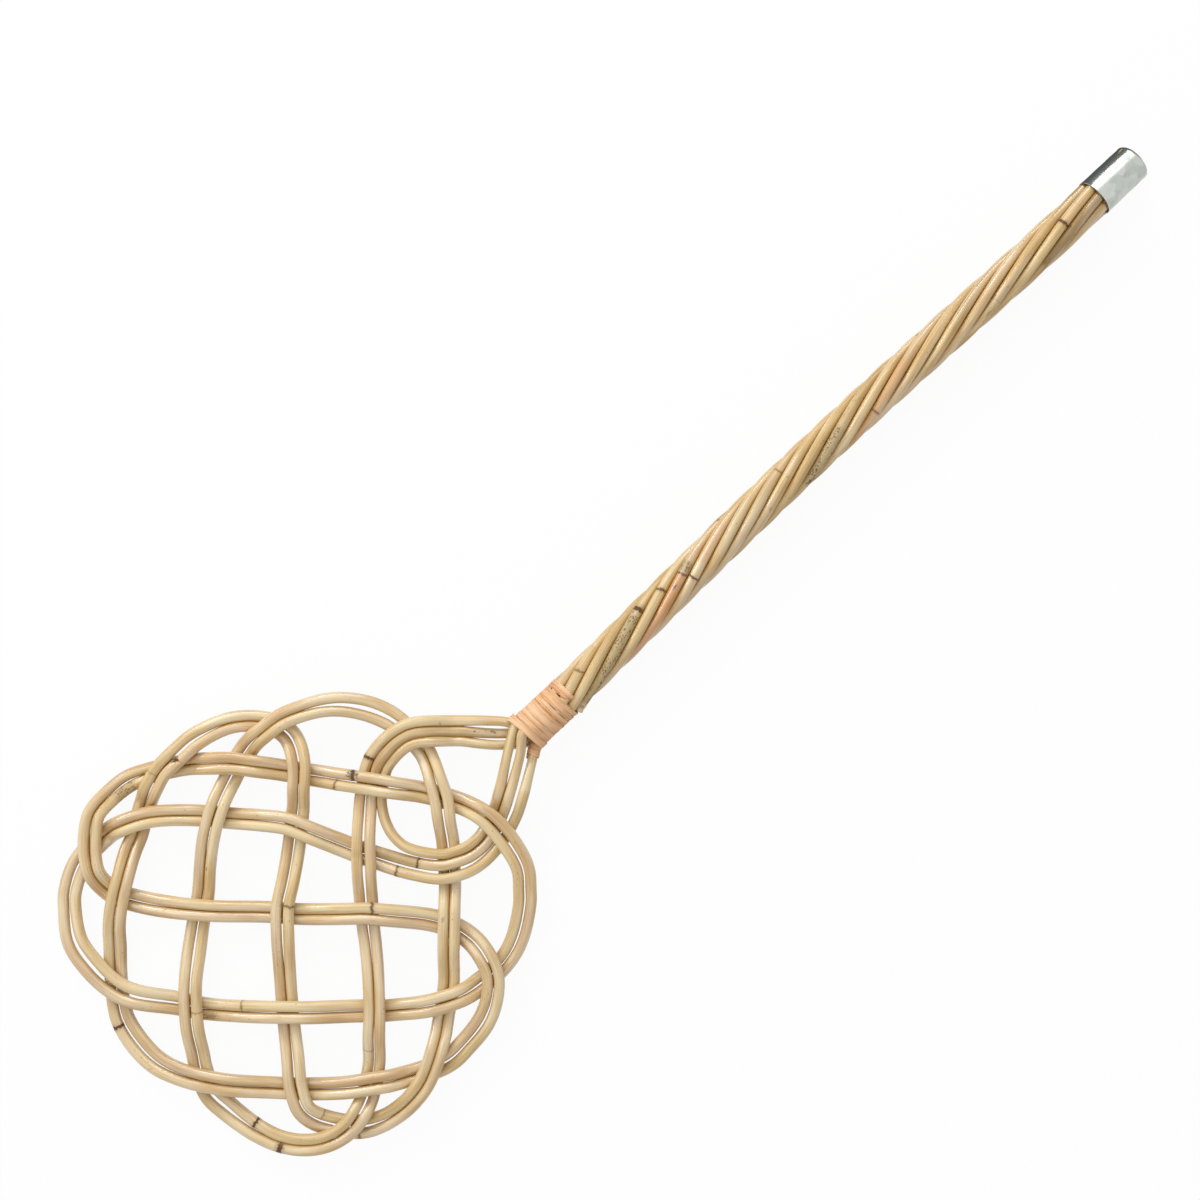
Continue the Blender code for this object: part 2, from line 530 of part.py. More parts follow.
def make_cap(collection):
    """The metal cap: a turned shell with a closed, rounded end and an open mouth."""
    turn = np.linspace(0, math.pi / 2, CAP_EDGE_STEPS + 1)
    edge_centre = CAP_RADIUS - CAP_EDGE_RADIUS, HANDLE_LENGTH - CAP_EDGE_RADIUS
    mouth_radius, inside_radius = CAP_RADIUS + CAP_TAPER, CAP_EDGE_RADIUS - CAP_WALL
    rounded = np.column_stack((np.cos(turn), np.sin(turn)))
    outer = np.vstack(((mouth_radius, CAP_START), edge_centre + CAP_EDGE_RADIUS * rounded))
    inner = np.vstack(((mouth_radius - CAP_WALL, CAP_START), edge_centre + inside_radius * rounded))
    outline = np.vstack(((0, HANDLE_LENGTH), outer[::-1], inner, (0, HANDLE_LENGTH - CAP_WALL)))
    mesh = bpy.data.meshes.new("end_cap")
    mesh.from_pydata([(radius, 0, along) for radius, along in outline],
                     [(index, index + 1) for index in range(len(outline) - 1)], [])
    made = lay_along_handle(add_object("end_cap", mesh, collection))
    turned = made.modifiers.new("turned", "SCREW")
    turned.steps = turned.render_steps = CAP_SEGMENTS
    turned.use_merge_vertices = True
    turned.merge_threshold = MERGE_DISTANCE
    turned.use_smooth_shade = True
    return made


def make_core(collection):
    """The straight core inside the handle's twist."""
    along = np.linspace(CORE_SETBACK, CANE_END, math.ceil((CANE_END - CORE_SETBACK) / CORE_STEP) + 1)
    points = np.column_stack((handle_centre(along), along, np.full(len(along), AXIS_HEIGHT)))
    return make_cane("core_cane", points, CORE_RADIUS, collection)


def centre_on_origin(objects):
    """Moves the whole beater so that the origin is under the middle of it."""
    bpy.context.view_layer.update()
    graph = bpy.context.evaluated_depsgraph_get()
    corners = []
    for made in objects:
        evaluated = made.evaluated_get(graph)
        mesh = evaluated.to_mesh()
        places = np.empty(len(mesh.vertices) * 3)
        mesh.vertices.foreach_get("co", places)
        matrix = np.array(made.matrix_world)
        corners.append(places.reshape(-1, 3) @ matrix[:3, :3].T + matrix[:3, 3])
        evaluated.to_mesh_clear()
    corners = np.vstack(corners)
    low, high = corners.min(axis=0), corners.max(axis=0)
    for made in objects:
        made.location.x -= (low[0] + high[0]) / 2
        made.location.y -= (low[1] + high[1]) / 2
        made.location.z -= low[2]
    print("beater size in mm:", np.round((high - low) * 1000, 1))


def build():
    """Makes every piece of the beater."""
    for old in list(bpy.data.objects):
        bpy.data.objects.remove(old, do_unlink=True)
    collection = bpy.data.collections.new("carpet_beater")
    guides = bpy.data.collections.new("guides")
    bpy.context.scene.collection.children.link(collection)
    bpy.context.scene.collection.children.link(guides)
    made = [make_core(collection)]
    for name, line in cane_lines().items():
        made.append(make_cane(name, needed_points(line), CANE_RADIUS, collection))
    made.append(make_binding(collection, guides))
    made.append(make_cap(collection))
    centre_on_origin(made)


build()
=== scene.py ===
"""Finished look of a rattan carpet beater: woven canes, twisted handle, wound binding and metal end cap.

The beater lies flat. Its handle runs along +Y towards the cap, +X is to the right and +Z is up. Every piece is
worked out in the mouth's own places: across, along the handle and up, from the handle's axis at the binding's
mouth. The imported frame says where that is.
"""

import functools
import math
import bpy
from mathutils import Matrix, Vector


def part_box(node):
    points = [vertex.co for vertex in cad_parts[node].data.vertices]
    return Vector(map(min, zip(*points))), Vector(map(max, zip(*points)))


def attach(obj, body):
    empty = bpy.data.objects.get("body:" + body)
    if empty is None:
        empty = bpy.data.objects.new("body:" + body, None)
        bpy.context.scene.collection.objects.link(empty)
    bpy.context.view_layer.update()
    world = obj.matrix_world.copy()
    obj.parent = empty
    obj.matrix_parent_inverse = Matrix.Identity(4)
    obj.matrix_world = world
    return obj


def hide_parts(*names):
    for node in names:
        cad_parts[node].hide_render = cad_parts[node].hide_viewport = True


bl_info = {
    "name": "Rattan carpet beater",
    "version": (1, 0, 0),
    "blender": (4, 5, 0),
    "location": "View3D > Sidebar > Beater",
    "description": "Makes the canes, the binding, the cap and the stage of a rattan carpet beater",
    "category": "Add Mesh",
}

import bpy
import numpy as np
from bpy.props import FloatProperty, FloatVectorProperty, IntProperty, PointerProperty
from mathutils import Euler

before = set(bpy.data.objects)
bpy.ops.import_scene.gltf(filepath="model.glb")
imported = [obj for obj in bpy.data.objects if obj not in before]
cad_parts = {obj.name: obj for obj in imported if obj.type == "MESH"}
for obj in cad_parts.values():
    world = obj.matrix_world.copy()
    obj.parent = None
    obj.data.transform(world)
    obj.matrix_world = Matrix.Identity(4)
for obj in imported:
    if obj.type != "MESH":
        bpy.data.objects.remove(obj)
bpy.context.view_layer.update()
CAP_LOW, CAP_HIGH = (np.array(corner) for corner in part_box("end_cap"))

# Sizes that follow the solids in the frame.
HEAD_LENGTH = 0.3036
HANDLE_LENGTH = 0.5046
CANE_DIAMETER = 0.0062
SEAM_GAP = 0.0003
CROSSING_GAP = 0.0006
LAY_LENGTH = 0.1815
HANDLE_BOW = 0.0038
STRIP_WIDTH = 0.0033
STRIP_TURN_GAP = 0.0005
MOUTH_FLARE = 0.0012
CAP_LENGTH = 0.0335
CAP_WALL = 0.0005
CAP_EDGE_RADIUS = 0.0030
CAP_END_CLEARANCE = 0.0010
CAP_TAPER = 0.0003
FILLER_STUB_REACH = 0.0012
FILLER_STUB_LIFT = 0.0024
FILLER_STUB_RUN = 0.0150
CORE_SETBACK = 0.0033

CANES_IN_HANDLE = 8
CANES_IN_MOUTH = 7
BINDING_TURNS = 8
MOUTH_ANGLE = math.radians(90)
STRIP_START_ANGLE = math.radians(-100)
STRIP_TAIL_ANGLE = math.radians(20)
TAIL_EASE_SHARE = 0.75
MOUTH_TWIST_SHARE = 0.445
TWIST_GROWTH_SHARE = 1.22
CAP_EASE_SHARE = 0.62
CAP_EASE_POWER = 8
CROSSING_MARGIN_SHARE = 0.45
LOOP_BESIDE_PAIR_SHARE = 0.25
DAYLIGHT_SHARE = 0.6
LOOP_CLOSER = 0.0006
STRETCH_REACH_SHARE = 1.35

# How finely the lines and surfaces are worked out.
FINE_STEP = 0.0008
LINE_SMOOTHING = 0.0020
RING_STEP = 0.0012
NODE_RING_STEP = 0.00028
NODE_REACH = 0.0026
HANDLE_STEP = 0.0040
MISS_PENALTY = 20.0
SENSOR = 36.0

# Places read from a picture of the beater, in its pixels. The head's length fixes their scale.
PICTURE_PX = 1200
HEAD_LENGTH_PX = 506.0
MOUTH_PX = (525.0, 735.0)
CAP_END_PX = (1137.0, 158.0)
SPLICE_PX = (180.0, 761.5)

# The route of the pair of long canes: x, y of its middle and the daylight between two thin canes there.
NECK_DOWN_PX = [(517.5, 790, 4.5), (509.5, 815, 4.3), (493, 845, 1)]
INNER_ARC_PX = [(475, 861, 3), (458, 868, 5), (441, 871.5, 4.5), (415, 868.5, 3.5), (396, 864.5, 3.5),
                (379, 859.5, 2.5)]
ROW_2_PX = [(351, 850, 2), (307, 830.5, 1.5), (285, 822.5, 1.5), (230, 819, 0), (201, 816.5, 0),
            (163, 815.5, 0), (143, 818.5, 0), (115, 829, 0), (104, 836.5, 0)]
LEFT_LOBE_PX = [(78.5, 863.5, 3), (69, 892, 2.5), (69, 906, 2), (75.5, 940.5, 6), (93.5, 965.5, 7),
                (113.5, 984.5, 5.5), (131.5, 994, 5.5), (179, 1005, 3.5)]
ROW_4_PX = [(210, 1010.5, 1), (274, 1011, 1.5), (361, 1012, 1.5), (387, 1011.5, 0.5), (433, 1003.5, 2),
            (460, 995, 1.5), (479, 985, 3)]
RIGHT_LOBE_PX = [(504.5, 961.5, 1.5), (517, 938.5, 2.5), (524.5, 903, 2.5), (524.5, 889, 2.5),
                 (523.5, 871, 2.5), (518, 856.5, 3), (499.5, 830, 3.5), (481.5, 813.5, 1),
                 (455.5, 802.5, 0.5)]
ROW_1_PX = [(425, 793.5, 0), (388, 786.5, 2), (357, 781.5, 2), (336, 779, 1.5), (313, 776, 1.5),
            (286, 771.5, 0.5), (258, 766.5, 0.5), (230, 763, 1), (201, 764, 1), (184.5, 765.5, 0),
            (145.5, 774.5, 0)]
UPPER_LEFT_LOBE_PX = [(127, 782, 2), (110, 796, 1), (95.5, 813.5, 0.5), (91.5, 835.5, 2), (92, 857, 1.5),
                      (96.5, 876, 0), (109, 892, 0)]
ROW_3_PX = [(134, 901.5, 2), (191, 908.5, 0.5), (268, 913, 0), (298, 915, 0), (365, 912.5, 0.5),
            (384, 914, 1.5), (437, 922.5, 2), (461, 933, 2)]
LOWER_RIGHT_LOBE_PX = [(480.5, 949, 3), (492.5, 973, 1.5), (492, 997, 1.5), (483.5, 1020.5, 3),
                       (465.5, 1044.5, 2.5), (448, 1061.5, 3)]
ROW_5_PX = [(414, 1075.5, 1), (376, 1081.5, 2), (345, 1086.5, 2), (317, 1090, 1.5), (282, 1089.5, 0.5),
            (231, 1084, 1.5), (198, 1078, 1.5)]
LOWER_LEFT_LOBE_PX = [(179, 1072, 2), (157, 1061.5, 3.5), (138, 1044.5, 4.5), (123, 1023.5, 3.5),
                      (117.5, 1006, 2.5)]
COLUMN_0_PX = [(114, 968, 1.5), (114.5, 945, 2), (115, 927, 1.5), (119, 899, 1), (123.5, 880, 0.5),
               (130, 851, 1), (136, 835.5, 0), (144, 805, 1), (152, 789, 2.5), (162.5, 770.5, 1.5)]
TOP_LEFT_LOBE_PX = [(177, 756, 3.5), (195, 740, 3.5), (223, 725.5, 0.5), (244, 721.5, 0), (266, 723.5, 1),
                    (284.5, 732, 3), (294.5, 745, 3.5), (299.5, 761, 3)]
COLUMN_2_PX = [(300, 774, 1.5), (298, 803, 1.5), (296.5, 815, 2.5), (293, 847, 2.5), (288.5, 880, 2.5),
               (283.5, 906, 2.5), (283.5, 936, 2.5), (284.5, 976, 0.5), (285.5, 997, 0.5), (288.5, 1029, 1),
               (293.5, 1060, 2.5), (297, 1087, 3)]
LOWER_RIGHT_CORNER_PX = [(304.5, 1108.5, 2.5), (317, 1120, 4), (330, 1125, 4), (348, 1128, 4),
                         (365, 1127.5, 4), (380.5, 1122.5, 2), (393.5, 1115, 0.5), (410, 1100.5, 0),
                         (426, 1078.5, 0)]
COLUMN_4_PX = [(440, 1037, 0), (443, 1018, 0), (448, 986, 0), (448.5, 955, 0.5), (449, 934, 1),
               (449.5, 903, 0.5), (449.5, 886, 0.5), (447.5, 845, 2.5), (444.5, 822, 2.5), (441.5, 799, 3.5),
               (435.5, 779, 1.5), (429, 762, 0), (422, 749.5, 1)]
TOP_LOBE_PX = [(395.5, 723, 5), (372.5, 711, 7), (345.5, 705, 5.5), (324.5, 705.5, 3), (302.5, 711, 0.5),
               (281.5, 719.5, 0), (266, 731, 0), (246.5, 748.5, 2.5)]
COLUMN_1_PX = [(228.5, 781, 2.5), (221, 799, 2.5), (214.5, 818, 2), (209, 841, 1.5), (204.5, 870, 0.5),
               (202, 895, 1.5), (196.5, 928, 2.5), (193.5, 955, 4), (191.5, 980, 2.5), (191.5, 1001, 2.5),
               (193.5, 1029, 2.5), (196.5, 1052, 2.5), (200, 1072, 3)]
BOTTOM_LOBE_PX = [(210.5, 1095.5, 5.5), (225, 1108.5, 6), (240, 1120, 4), (257.5, 1131, 2), (278.5, 1140, 0),
                  (301, 1143.5, 0), (321.5, 1141.5, 0), (338.5, 1134.5, 1), (351, 1124.5, 1.5),
                  (360, 1112, 3), (366, 1100, 3)]
COLUMN_3_PX = [(373, 1067, 1.5), (374, 1039, 1.5), (375, 1010, 0), (373.5, 976, 0.5), (370, 945, 1.5),
               (367.5, 928, 2.5), (365, 897, 3.5), (364.5, 870, 4.5), (364, 841, 3.5), (364.5, 813, 2.5),
               (365, 798, 1.5)]
NECK_LEFT_PX = [(371.5, 765, 0.5), (380, 751.5, 1), (395.5, 736.5, 0), (412.5, 728, 0), (460, 726.5, 0)]
PAIR_ROUTE_PX = (NECK_DOWN_PX + INNER_ARC_PX + ROW_2_PX + LEFT_LOBE_PX + ROW_4_PX + RIGHT_LOBE_PX + ROW_1_PX
                 + UPPER_LEFT_LOBE_PX + ROW_3_PX + LOWER_RIGHT_LOBE_PX + ROW_5_PX + LOWER_LEFT_LOBE_PX
                 + COLUMN_0_PX + TOP_LEFT_LOBE_PX + COLUMN_2_PX + LOWER_RIGHT_CORNER_PX + COLUMN_4_PX
                 + TOP_LOBE_PX + COLUMN_1_PX + BOTTOM_LOBE_PX + COLUMN_3_PX + NECK_LEFT_PX)

# The short cane lies beside the pair at both its ends and turns on its own between these places.
LOOP_LEAVES_PX = (441.0, 871.5)
LOOP_JOINS_PX = (365.0, 798.0)
LOOP_TURN_PX = [(407, 847, 0), (393, 836, 0), (385, 822, 0), (381.5, 809, 0)]

# Each end passes one place between head and binding. It is set off from the middle one of its three:
# across and along in shares of the pair's spacing, and up in shares of a crossing's rise.
NECK_DOWN_PLACE_PX = (520.5, 752)
NECK_LEFT_PLACE_PX = (500, 734.3)
NECK_THINNING_PX = 1.0
HEAD_THICKER_PX = 0.5
NECK_SHARES = {
    "outer_down": (NECK_DOWN_PLACE_PX, 1.38, 0.07, 0.5),
    "inner_down": (NECK_DOWN_PLACE_PX, 0, 0, 1.5),
    "loop_down": (NECK_DOWN_PLACE_PX, -0.92, -0.70, 1.3),
    "outer_left": (NECK_LEFT_PLACE_PX, -0.49, 1.12, -0.7),
    "inner_left": (NECK_LEFT_PLACE_PX, 0, 0, -1.7),
    "loop_left": (NECK_LEFT_PLACE_PX, 0.65, -0.87, -1.3),
}

# The order of the canes around the handle, counted from the one at the beater's right-hand side.
HANDLE_ORDER = {"outer_down": 0, "inner_down": 2, "loop_down": 3, "outer_left": 4, "inner_left": 5,
                "loop_left": 6}
INNER_FILLER_ORDER = 1
STUB_FILLER_ORDER = 7

# Nodes that show as thin dark rings: x, y, strength and how jagged the ring is, in millimetres.
NODE_MARKS = [
    (369, 759, 1.0, 0.7), (352, 775, 1.0, 1.2), (335, 785, 0.7, 0.4), (417, 863, 0.9, 0.3),
    (396, 871, 0.8, 0.5), (371, 906, 0.9, 1.3), (116, 1028, 1.1, 0.4), (241, 1005, 0.6, 0.4),
    (198, 1013, 0.5, 0.3), (255, 1123, 1.1, 0.3), (281, 1145, 1.5, 0.5), (360, 1133, 0.7, 0.5),
    (324, 1114, 0.5, 0.4), (290, 907, 0.7, 0.2), (153, 774, 0.4, 0.4), (366, 1051, 0.4, 0.4),
]
TURNED_NODE_MARKS = [
    (255.5, 789, 0.6, 0.9), (339.5, 785.5, 1.5, 0.5), (371, 788, 0.9, 1.1), (397, 792, 0.8, 0.4),
    (403.5, 802, 0.9, 0.7), (538, 783, 0.6, 0.6), (648.5, 806, 0.7, 0.4), (813, 807, 0.3, 0.5),
    (913, 791, 1.0, 0.3),
]

# Brown stains and specks, and painted shade in the splice's hollow: x, y, length and width in millimetres and strength.
BLOT_MARKS = [
    (352, 774.5, 3.6, 2.6, 0.95), (581.5, 707, 1.6, 2.0, 0.6), (210, 1016, 5.0, 2.0, 0.5),
    (633.5, 612, 1.2, 1.0, 0.7), (206.5, 868.5, 1.3, 0.6, 0.6), (577.5, 670.5, 1.6, 1.6, 0.5),
    # The dark mark at (175, 760) is painted shade in the hollow before the splice's blunt tip.
    (142, 773.5, 1.2, 0.7, 0.4), (175, 760, 2.6, 1.9, 1.0), (440, 723.5, 0.9, 0.7, 0.5),
    (474, 731.5, 0.8, 0.6, 0.8), (491, 731.5, 1.1, 0.8, 0.9), (494.5, 732.5, 0.9, 0.8, 0.8),
    (485, 731, 0.6, 0.5, 0.5), (443, 920, 1.6, 1.2, 0.35),
]
TURNED_BLOT_MARKS = [
    (285, 783, 1.6, 1.2, -0.5), (317, 792, 0.9, 0.8, 0.9), (383, 795, 2.0, 0.9, 0.9),
    (460, 776, 1.2, 0.9, 0.6), (505, 804, 1.6, 1.0, 0.4), (540, 792, 1.0, 0.7, 0.45),
    (554, 810, 1.1, 0.9, 0.9), (565, 807, 1.2, 0.8, 0.7), (731, 777, 1.2, 0.9, 0.8),
    (798, 810, 2.6, 0.7, 0.35), (830, 804, 1.8, 0.7, 0.35), (918, 802.5, 0.9, 0.8, 1.0),
]

# Stretches of their own colour, and one painted highlight, from one place to another: how grey, how tan and how much
# paler.
STRETCH_MARKS = [
    ((585, 703), (634, 613.5), 0.9, 0.0, 0.0), ((838, 428), (866, 378), 0.3, 0.0, -0.5),
    ((806, 486), (840, 425), 0.85, 0.0, 0.0), ((694, 560), (721, 521), 0.0, 0.55, 0.3),
    ((392, 750), (497, 732.5), 0.3, 0.0, -0.2), ((340, 857), (352, 850), 0.2, 0.1, -0.2),
    ((385, 855), (416, 862.5), 0.45, 0.0, -0.2), ((844, 440), (905, 360), 0.0, 0.5, -0.2),
    ((118, 800), (137, 787), 0.75, 0.0, -0.4), ((1059, 221), (1090, 190), 0.0, 0.25, 0.2),
    # The paler stretch from (523, 790) to (529, 762) on the neck's right-hand cane is a painted highlight.
    ((523, 790), (529, 762), 0.0, 0.0, 0.6), ((741, 540), (777, 479), 0.35, 0.0, 0.1),
    ((722, 553), (747, 505), 0.3, 0.1, 0.0),
]
TURNED_STRETCH_MARKS = [
    ((296, 815), (398, 792), 0.0, 1.0, 0.0), ((398, 792), (412, 790), 0.8, 0.0, 0.2),
    ((870, 810), (960, 797), 0.2, 0.0, -1.7),
]

# The turned marks were read in the same picture with its handle laid level: the mouth's place there, and how
# much higher the middle of the cap's end lies.
TURNED_MOUTH_PX = (171.7, 801.0)
TURNED_RISE_PX = 3.0

# Places of the head's and handle's pieces, worked out from the sizes above.
METRES_PER_PIXEL = HEAD_LENGTH / HEAD_LENGTH_PX
CANE_RADIUS = CANE_DIAMETER / 2
PAIR_SPACING = CANE_DIAMETER + SEAM_GAP
CROSSING_RISE = (CANE_DIAMETER + CROSSING_GAP) / 2
RING_RADIUS_STRAIGHT = PAIR_SPACING / 2 / math.sin(math.pi / CANES_IN_HANDLE)
RING_RADIUS = RING_RADIUS_STRAIGHT * math.hypot(1, 2 * math.pi * RING_RADIUS_STRAIGHT / LAY_LENGTH)
LEVEL_TURNS = BINDING_TURNS - 1 - STRIP_START_ANGLE / (2 * math.pi)
STRIP_PITCH = STRIP_WIDTH + STRIP_TURN_GAP
BINDING_LENGTH = STRIP_WIDTH + STRIP_PITCH * LEVEL_TURNS
CAP_START = HANDLE_LENGTH - CAP_LENGTH
CANE_END = HANDLE_LENGTH - CAP_WALL - CAP_END_CLEARANCE
MOUTH_PLACE = np.array(((CAP_LOW[0] + CAP_HIGH[0]) / 2, CAP_HIGH[1] - HANDLE_LENGTH,
                        (CAP_LOW[2] + CAP_HIGH[2]) / 2))
HEAD_EDGE_DROP = CROSSING_RISE + CANE_RADIUS - MOUTH_PLACE[2]
CAP_MOUTH_RADIUS = (CAP_HIGH[0] - CAP_LOW[0]) / 2
MILLIMETRE = 0.001


def colour(red, green, blue):
    """Linear colour of three screen values from 0 to 255."""
    shares = np.array((red, green, blue)) / 255
    return tuple(np.where(shares <= 0.04045, shares / 12.92, ((shares + 0.055) / 1.055) ** 2.4))


class CaneSettings(bpy.types.PropertyGroup):
    """Sizes of the round canes' surface."""
    diameter: FloatProperty(name="Diameter", description="Thickness of a cane", default=0.00645, unit="LENGTH")
    sides: IntProperty(name="Sides", description="Points around a cane", default=20)
    node_ridge: FloatProperty(name="Node ridge", description="How far a node stands out", default=0.00014,
                              unit="LENGTH")
    node_groove: FloatProperty(name="Node groove", description="How deep the line at a node is cut",
                               default=0.00016, unit="LENGTH")
    scarf_length: FloatProperty(name="Scarf", description="Length of the splice's slanted cut", default=0.009,
                                unit="LENGTH")


class RattanColours(bpy.types.PropertyGroup):
    """Colours of the canes and of the binding's peel."""
    pale: FloatVectorProperty(name="Pale", description="Palest straw of the skin", subtype="COLOR",
                              default=colour(232, 210, 166))
    honey: FloatVectorProperty(name="Honey", description="Usual honey colour of the skin", subtype="COLOR",
                               default=colour(209, 176, 119))
    tan: FloatVectorProperty(name="Tan", description="Orange tan of some stretches", subtype="COLOR",
                             default=colour(206, 149, 90))
    grey: FloatVectorProperty(name="Grey", description="Olive grey of weathered stretches", subtype="COLOR",
                              default=colour(184, 163, 119))
    olive: FloatVectorProperty(name="Olive", description="Olive brown of the darkest stretches",
                               subtype="COLOR", default=colour(146, 116, 66))
    mark: FloatVectorProperty(name="Mark", description="Brown of nodes and specks", subtype="COLOR",
                              default=colour(94, 58, 28))
    # The seam colour is laid on where canes lie close: varnish in the seams and painted shade between canes.
    seam: FloatVectorProperty(name="Seam", description="Golden brown of the varnish in the seams",
                              subtype="COLOR", default=colour(188, 146, 64))
    peel: FloatVectorProperty(name="Peel", description="Peach colour of the binding", subtype="COLOR",
                              default=colour(242, 198, 154))
    peel_dark: FloatVectorProperty(name="Dark peel", description="Deeper streaks of the binding",
                                   subtype="COLOR", default=colour(222, 162, 108))
    peel_split: FloatVectorProperty(name="Split peel", description="Brown of the splits between fibres",
                                    subtype="COLOR", default=colour(150, 92, 48))


class BindingSettings(bpy.types.PropertyGroup):
    """Sizes of the binding's strip as it shows."""
    width: FloatProperty(name="Width", description="Width of the strip", default=0.00405, unit="LENGTH")
    thickness: FloatProperty(name="Thickness", description="Thickness of the strip", default=0.0006,
                             unit="LENGTH")
    bite: FloatProperty(name="Bite", description="How far the strip is drawn into the canes", default=0.0004,
                        unit="LENGTH")
    wander: FloatProperty(name="Wander", description="How far a turn strays along the handle",
                          default=0.00022, unit="LENGTH")
    lift: FloatProperty(name="Lift", description="How far a turn's edge stands over the next",
                        default=0.00022, unit="LENGTH")
    tail_reach: FloatProperty(name="Tail", description="How far the tail runs on past the last turn",
                              default=0.0015, unit="LENGTH")
    wrap_turns: FloatProperty(name="Wrap", description="Turns of the strip's start around one cane",
                              default=2.1)


class CapSettings(bpy.types.PropertyGroup):
    """Size and colour of the metal cap as it shows."""
    dent: FloatProperty(name="Dents", description="Depth of the shallow dents", default=0.00010,
                        unit="LENGTH")
    flare: FloatProperty(name="Flare", description="How far the mouth's edge opens", default=0.00020,
                         unit="LENGTH")
    draw_in: FloatProperty(name="Draw in", description="How far the cap is pressed onto the canes",
                           default=0.0008, unit="LENGTH")
    zinc: FloatVectorProperty(name="Zinc", description="Colour of the galvanised skin", subtype="COLOR",
                              default=colour(206, 211, 203))
    zinc_dark: FloatVectorProperty(name="Dark zinc", description="Colour of the darker crystals",
                                   subtype="COLOR", default=colour(168, 175, 169))


class StageSettings(bpy.types.PropertyGroup):
    """Camera and light."""
    camera_rise: FloatProperty(name="Camera", description="Camera's height over the handle's axis",
                               default=1.0222, unit="LENGTH")
    camera_aside: FloatVectorProperty(name="Camera aside", description="Camera's place beside the middle",
                                      size=2, default=(0.0001, -0.0176), subtype="TRANSLATION", unit="LENGTH")
    camera_turn: FloatVectorProperty(name="Camera turn", description="Camera's two tilts and its turn",
                                     default=(0.01164, -0.01212, 0.81512), subtype="EULER")
    camera_lens: FloatProperty(name="Lens", description="Focal length for a 36 mm wide picture",
                               default=51.157, unit="CAMERA")
    sky: FloatProperty(name="Sky", description="Strength of the even light from all round", default=0.62)
    key_power: FloatProperty(name="Key lamp", description="Power of the soft lamp at the upper left",
                             default=6.0, unit="POWER")
    streak_power: FloatProperty(name="Streak lamp", description="Power of the narrow lamp beside it",
                                default=11.0, unit="POWER")
    floor_white: FloatProperty(name="White floor", description="Share of plain white in the floor",
                               default=0.94, subtype="FACTOR")


def eased(share):
    """Goes from 0 to 1 with a level start and end: three times the square less twice the cube."""
    share = np.clip(share, 0, 1)
    return share * share * (3 - 2 * share)


def picture_axes():
    """Directions across and along the handle, in the picture's pixels."""
    along = np.subtract(CAP_END_PX, MOUTH_PX)
    along = along / np.hypot(*along)
    return np.array((-along[1], along[0])), along


def to_plan(route_px):
    """Turns picture pixels into metres across and along the handle, measured from the mouth."""
    route = np.array(route_px, float)
    across, along = picture_axes()
    offset = route[:, :2] - MOUTH_PX
    return np.column_stack((offset @ across, offset @ along, route[:, 2:])) * METRES_PER_PIXEL


def unturned(x, y):
    """Picture place of a place in the turned picture: as far along the handle and across it."""
    across, along = picture_axes()
    reach = x - TURNED_MOUTH_PX[0]
    aside = y - TURNED_MOUTH_PX[1] + TURNED_RISE_PX * reach / math.dist(MOUTH_PX, CAP_END_PX)
    return tuple(MOUTH_PX + reach * along + aside * across)


@functools.lru_cache(maxsize=None)
def placed_marks():
    """Nodes, stains and stretches, all with places in the picture as it is."""
    nodes, blots = (plain + [(*unturned(x, y), *rest) for x, y, *rest in turned] for plain, turned
                    in ((NODE_MARKS, TURNED_NODE_MARKS), (BLOT_MARKS, TURNED_BLOT_MARKS)))
    stretches = [(unturned(*first), unturned(*last), *rest) for first, last, *rest in TURNED_STRETCH_MARKS]
    return nodes, blots, stretches + STRETCH_MARKS


def smooth_curve(places, step):
    """Centripetal Catmull-Rom curve through the places: three levels of blends between neighbours."""
    ends = (2 * places[0] - places[1], 2 * places[-1] - places[-2])
    points = np.vstack((ends[0], places, ends[1]))
    pieces = []
    for first, start, stop, last in zip(points[:-3], points[1:-2], points[2:-1], points[3:]):
        span = np.linalg.norm((stop - start)[:3])
        t0 = 0.0
        t1 = t0 + math.sqrt(np.linalg.norm((start - first)[:3]))
        t2 = t1 + math.sqrt(span)
        t3 = t2 + math.sqrt(np.linalg.norm((last - stop)[:3]))
        t = np.linspace(t1, t2, max(2, math.ceil(span / step) + 1))[:-1, None]
        a1 = ((t1 - t) * first + (t - t0) * start) / (t1 - t0)
        a2 = ((t2 - t) * start + (t - t1) * stop) / (t2 - t1)
        a3 = ((t3 - t) * stop + (t - t2) * last) / (t3 - t2)
        b1 = ((t2 - t) * a1 + (t - t0) * a2) / (t2 - t0)
        b2 = ((t3 - t) * a2 + (t - t1) * a3) / (t3 - t1)
        pieces.append(((t2 - t) * b1 + (t - t1) * b2) / (t2 - t1))
    return np.vstack(pieces + [places[-1:]])


def run_lengths(points):
    """Distance along a line of points, from its start to each point."""
    return np.concatenate(((0.0,), np.cumsum(np.linalg.norm(np.diff(points, axis=0), axis=1))))


